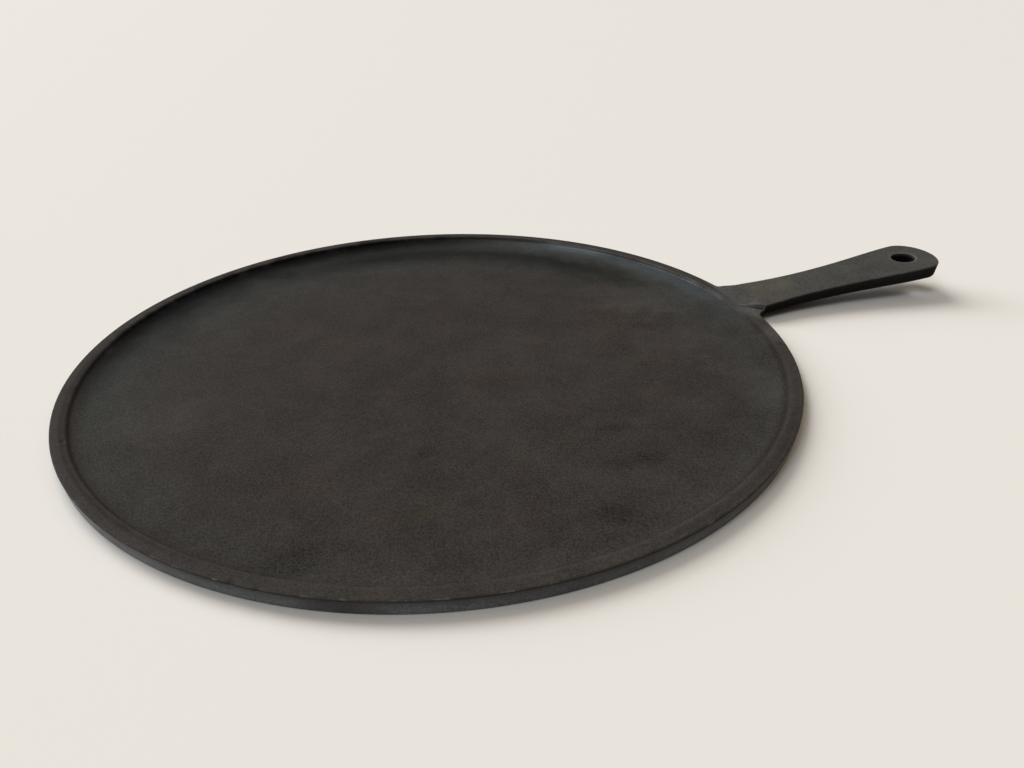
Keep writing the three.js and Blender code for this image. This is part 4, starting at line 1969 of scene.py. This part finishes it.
@dataclass(frozen=True)
class Studio:
    """A plain pale floor, soft light from the left and from behind, and the photograph's view."""

    rim: RimForm
    picture_width: float = 1024
    focal_pixels: float = 770
    sensor_width: float = 36
    pitch: float = math.radians(29.5)
    roll: float = math.radians(-0.53)
    handle_turn: float = math.radians(18)
    camera_shares: Place = (0.2104, -1.989, 1.0339)
    clip_start: float = 10 * MM
    floor_radius: float = 40.0
    floor_sides: int = 64
    floor_gap: float = 0.05 * MM
    floor_colour: Colour = (238, 235, 228)
    floor_roughness: float = 0.9
    floor_specular: float = 0.1
    lamps: tuple[Lamp, ...] = (
        Lamp("window", 128, 44, 34, 0.38, (252, 252, 252)),
        Lamp("side_window", 148, 21, 28, 0.15, (240, 245, 255)),
        Lamp("sky", 222, 46, 24, 0.17, (222, 236, 255)),
    )
    fill_colour: Colour = (255, 238, 216)
    fill_strength: float = 0.48
    fill_low: float = 0.04
    fill_turn: float = math.radians(128)
    fill_lean: float = 0.6
    ceiling_low: float = 0.25
    ceiling_high: float = 0.9
    backdrop_colour: Colour = (195, 194, 191)

    def _turned(self, *vector: float) -> Vector:
        """Turns a direction from the photograph's frame into the pan's."""
        return Matrix.Rotation(-self.handle_turn, 3, "Z") @ Vector(vector)

    def camera(self) -> None:
        """Makes the camera."""
        forward = Vector((0, math.cos(self.pitch), -math.sin(self.pitch)))
        right = Vector((1, 0, 0))
        up = right.cross(forward)
        leaned_right = math.cos(self.roll) * right + math.sin(self.roll) * up
        leaned_up = -math.sin(self.roll) * right + math.cos(self.roll) * up
        columns = [self._turned(*v) for v in (leaned_right, leaned_up, -forward)]
        data = bpy.data.cameras.new("photo_camera")
        data.sensor_width = self.sensor_width
        data.lens = self.focal_pixels / self.picture_width * self.sensor_width
        data.clip_start = self.clip_start
        camera = bpy.data.objects.new(data.name, data)
        place = self._turned(*self.camera_shares) * self.rim.outer_radius
        camera.matrix_world = Matrix.Translation(place) @ Matrix(columns).transposed().to_4x4()
        bpy.context.scene.collection.objects.link(camera)
        bpy.context.scene.camera = camera

    def floor(self) -> None:
        """Makes the floor."""
        mesh = bpy.data.meshes.new("floor")
        work = bmesh.new()
        bmesh.ops.create_circle(work, cap_ends=True, segments=self.floor_sides, radius=self.floor_radius)
        bmesh.ops.translate(work, vec=(0, 0, -self.floor_gap), verts=work.verts)
        work.to_mesh(mesh)
        work.free()
        floor = bpy.data.objects.new(mesh.name, mesh)
        material = bpy.data.materials.new("pale_floor")
        material.use_nodes = True
        shader = material.node_tree.nodes["Principled BSDF"].inputs
        shader["Base Color"].default_value = linear(self.floor_colour)
        shader["Roughness"].default_value = self.floor_roughness
        shader["Specular IOR Level"].default_value = self.floor_specular
        mesh.materials.append(material)
        bpy.context.scene.collection.objects.link(floor)

    def hang(self, lamp: Lamp) -> None:
        """Hangs one lamp.

        Args:
            lamp: Its place, level and colour.
        """
        turn = math.radians(lamp.turn)
        lift = math.radians(lamp.lift)
        data = bpy.data.lights.new(lamp.name, "SUN")
        data.angle = math.radians(lamp.spread)
        data.energy = lamp.level * math.pi / math.sin(lift)
        data.color = linear(lamp.colour)[:3]
        hung = bpy.data.objects.new(lamp.name, data)
        level = math.cos(lift)
        hung.location = self._turned(math.cos(turn) * level, math.sin(turn) * level, math.sin(lift))
        hung.rotation_euler = (-hung.location).to_track_quat("-Z", "Y").to_euler()
        bpy.context.scene.collection.objects.link(hung)

    def fill(self) -> None:
        """Makes the world: a warm fill that leans to one side, and a plain backdrop behind it."""
        world = bpy.data.worlds.new("studio")
        bpy.context.scene.world = world
        world.use_nodes = True
        world.node_tree.nodes.clear()
        wiring = Wiring(world.node_tree)
        path = wiring.add("ShaderNodeLightPath")
        seen = wiring.maths("MAXIMUM", path["Is Camera Ray"], path["Is Glossy Ray"])
        seen = wiring.maths("MAXIMUM", seen, path["Is Transmission Ray"])
        heading = wiring.add("ShaderNodeTexCoord")["Generated"]
        upward = wiring.split(heading)[2]
        level = wiring.step(upward, self.ceiling_low, self.ceiling_high, self.fill_low, self.fill_strength)
        toward = tuple(self._turned(math.cos(self.fill_turn), math.sin(self.fill_turn), 0))
        lean = wiring.maths("DOT_PRODUCT", heading, toward) * self.fill_lean + 1.0
        colour = wiring.tint(seen, wiring.lit(self.fill_colour, level * lean), self.backdrop_colour)
        shader = wiring.add("ShaderNodeBackground", {"Color": colour})
        wiring.add("ShaderNodeOutputWorld", {"Surface": shader[0]})
        bpy.context.scene.view_settings.view_transform = "Standard"

    def build(self) -> None:
        """Makes the floor, the light and the camera."""
        self.floor()
        for lamp in self.lamps:
            self.hang(lamp)
        self.fill()
        self.camera()


def chips(rim: RimForm) -> tuple[Dent, ...]:
    """Lists the chips and dents of the edges.

    Args:
        rim: The rim that most of them are on.

    Returns:
        The chips and dents.
    """
    band = rim.outer_radius - rim.band_width / 2

    def on_rim(degrees: float, radius: float) -> Place:
        """A place on top of the rim, by its angle from the handle."""
        turn = math.radians(degrees)
        return (radius * math.cos(turn), radius * math.sin(turn), rim.height)

    return (
        Dent(on_rim(-125.6, rim.outer_radius), 2.2 * MM, 0.5 * MM),
        Dent(on_rim(-122.6, rim.outer_radius), 1.6 * MM, 0.35 * MM),
        Dent(on_rim(-75.1, band), 2.0 * MM, 0.3 * MM),
        Dent(on_rim(-168.1, rim.band_inner), 1.5 * MM, 0.5 * MM),
        Dent((220.6 * MM, -7.8 * MM, 14.3 * MM), 4.0 * MM, 0.3 * MM),
    )


def main() -> None:
    """Builds the pan and its studio."""
    logging.basicConfig(level=logging.INFO, format="%(message)s")
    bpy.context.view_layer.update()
    rim = RimForm()
    effects = SharedEffects()
    finishes = {slot: IronFinish(slot.value).made(effects) for slot in Slot}
    foundry = Foundry(rim, HandleForm(rim), section_sweep(), cast_skin(chips(rim)), finishes)
    root = HandleRoot(foundry)
    swept = (BakingPlate(foundry), RaisedRim(foundry, root.half_angle))
    for piece in (*swept, root, HandleShank(foundry), HangingEye(foundry)):
        piece.build()
    Studio(rim).build()


if __name__ == "__main__":
    main()
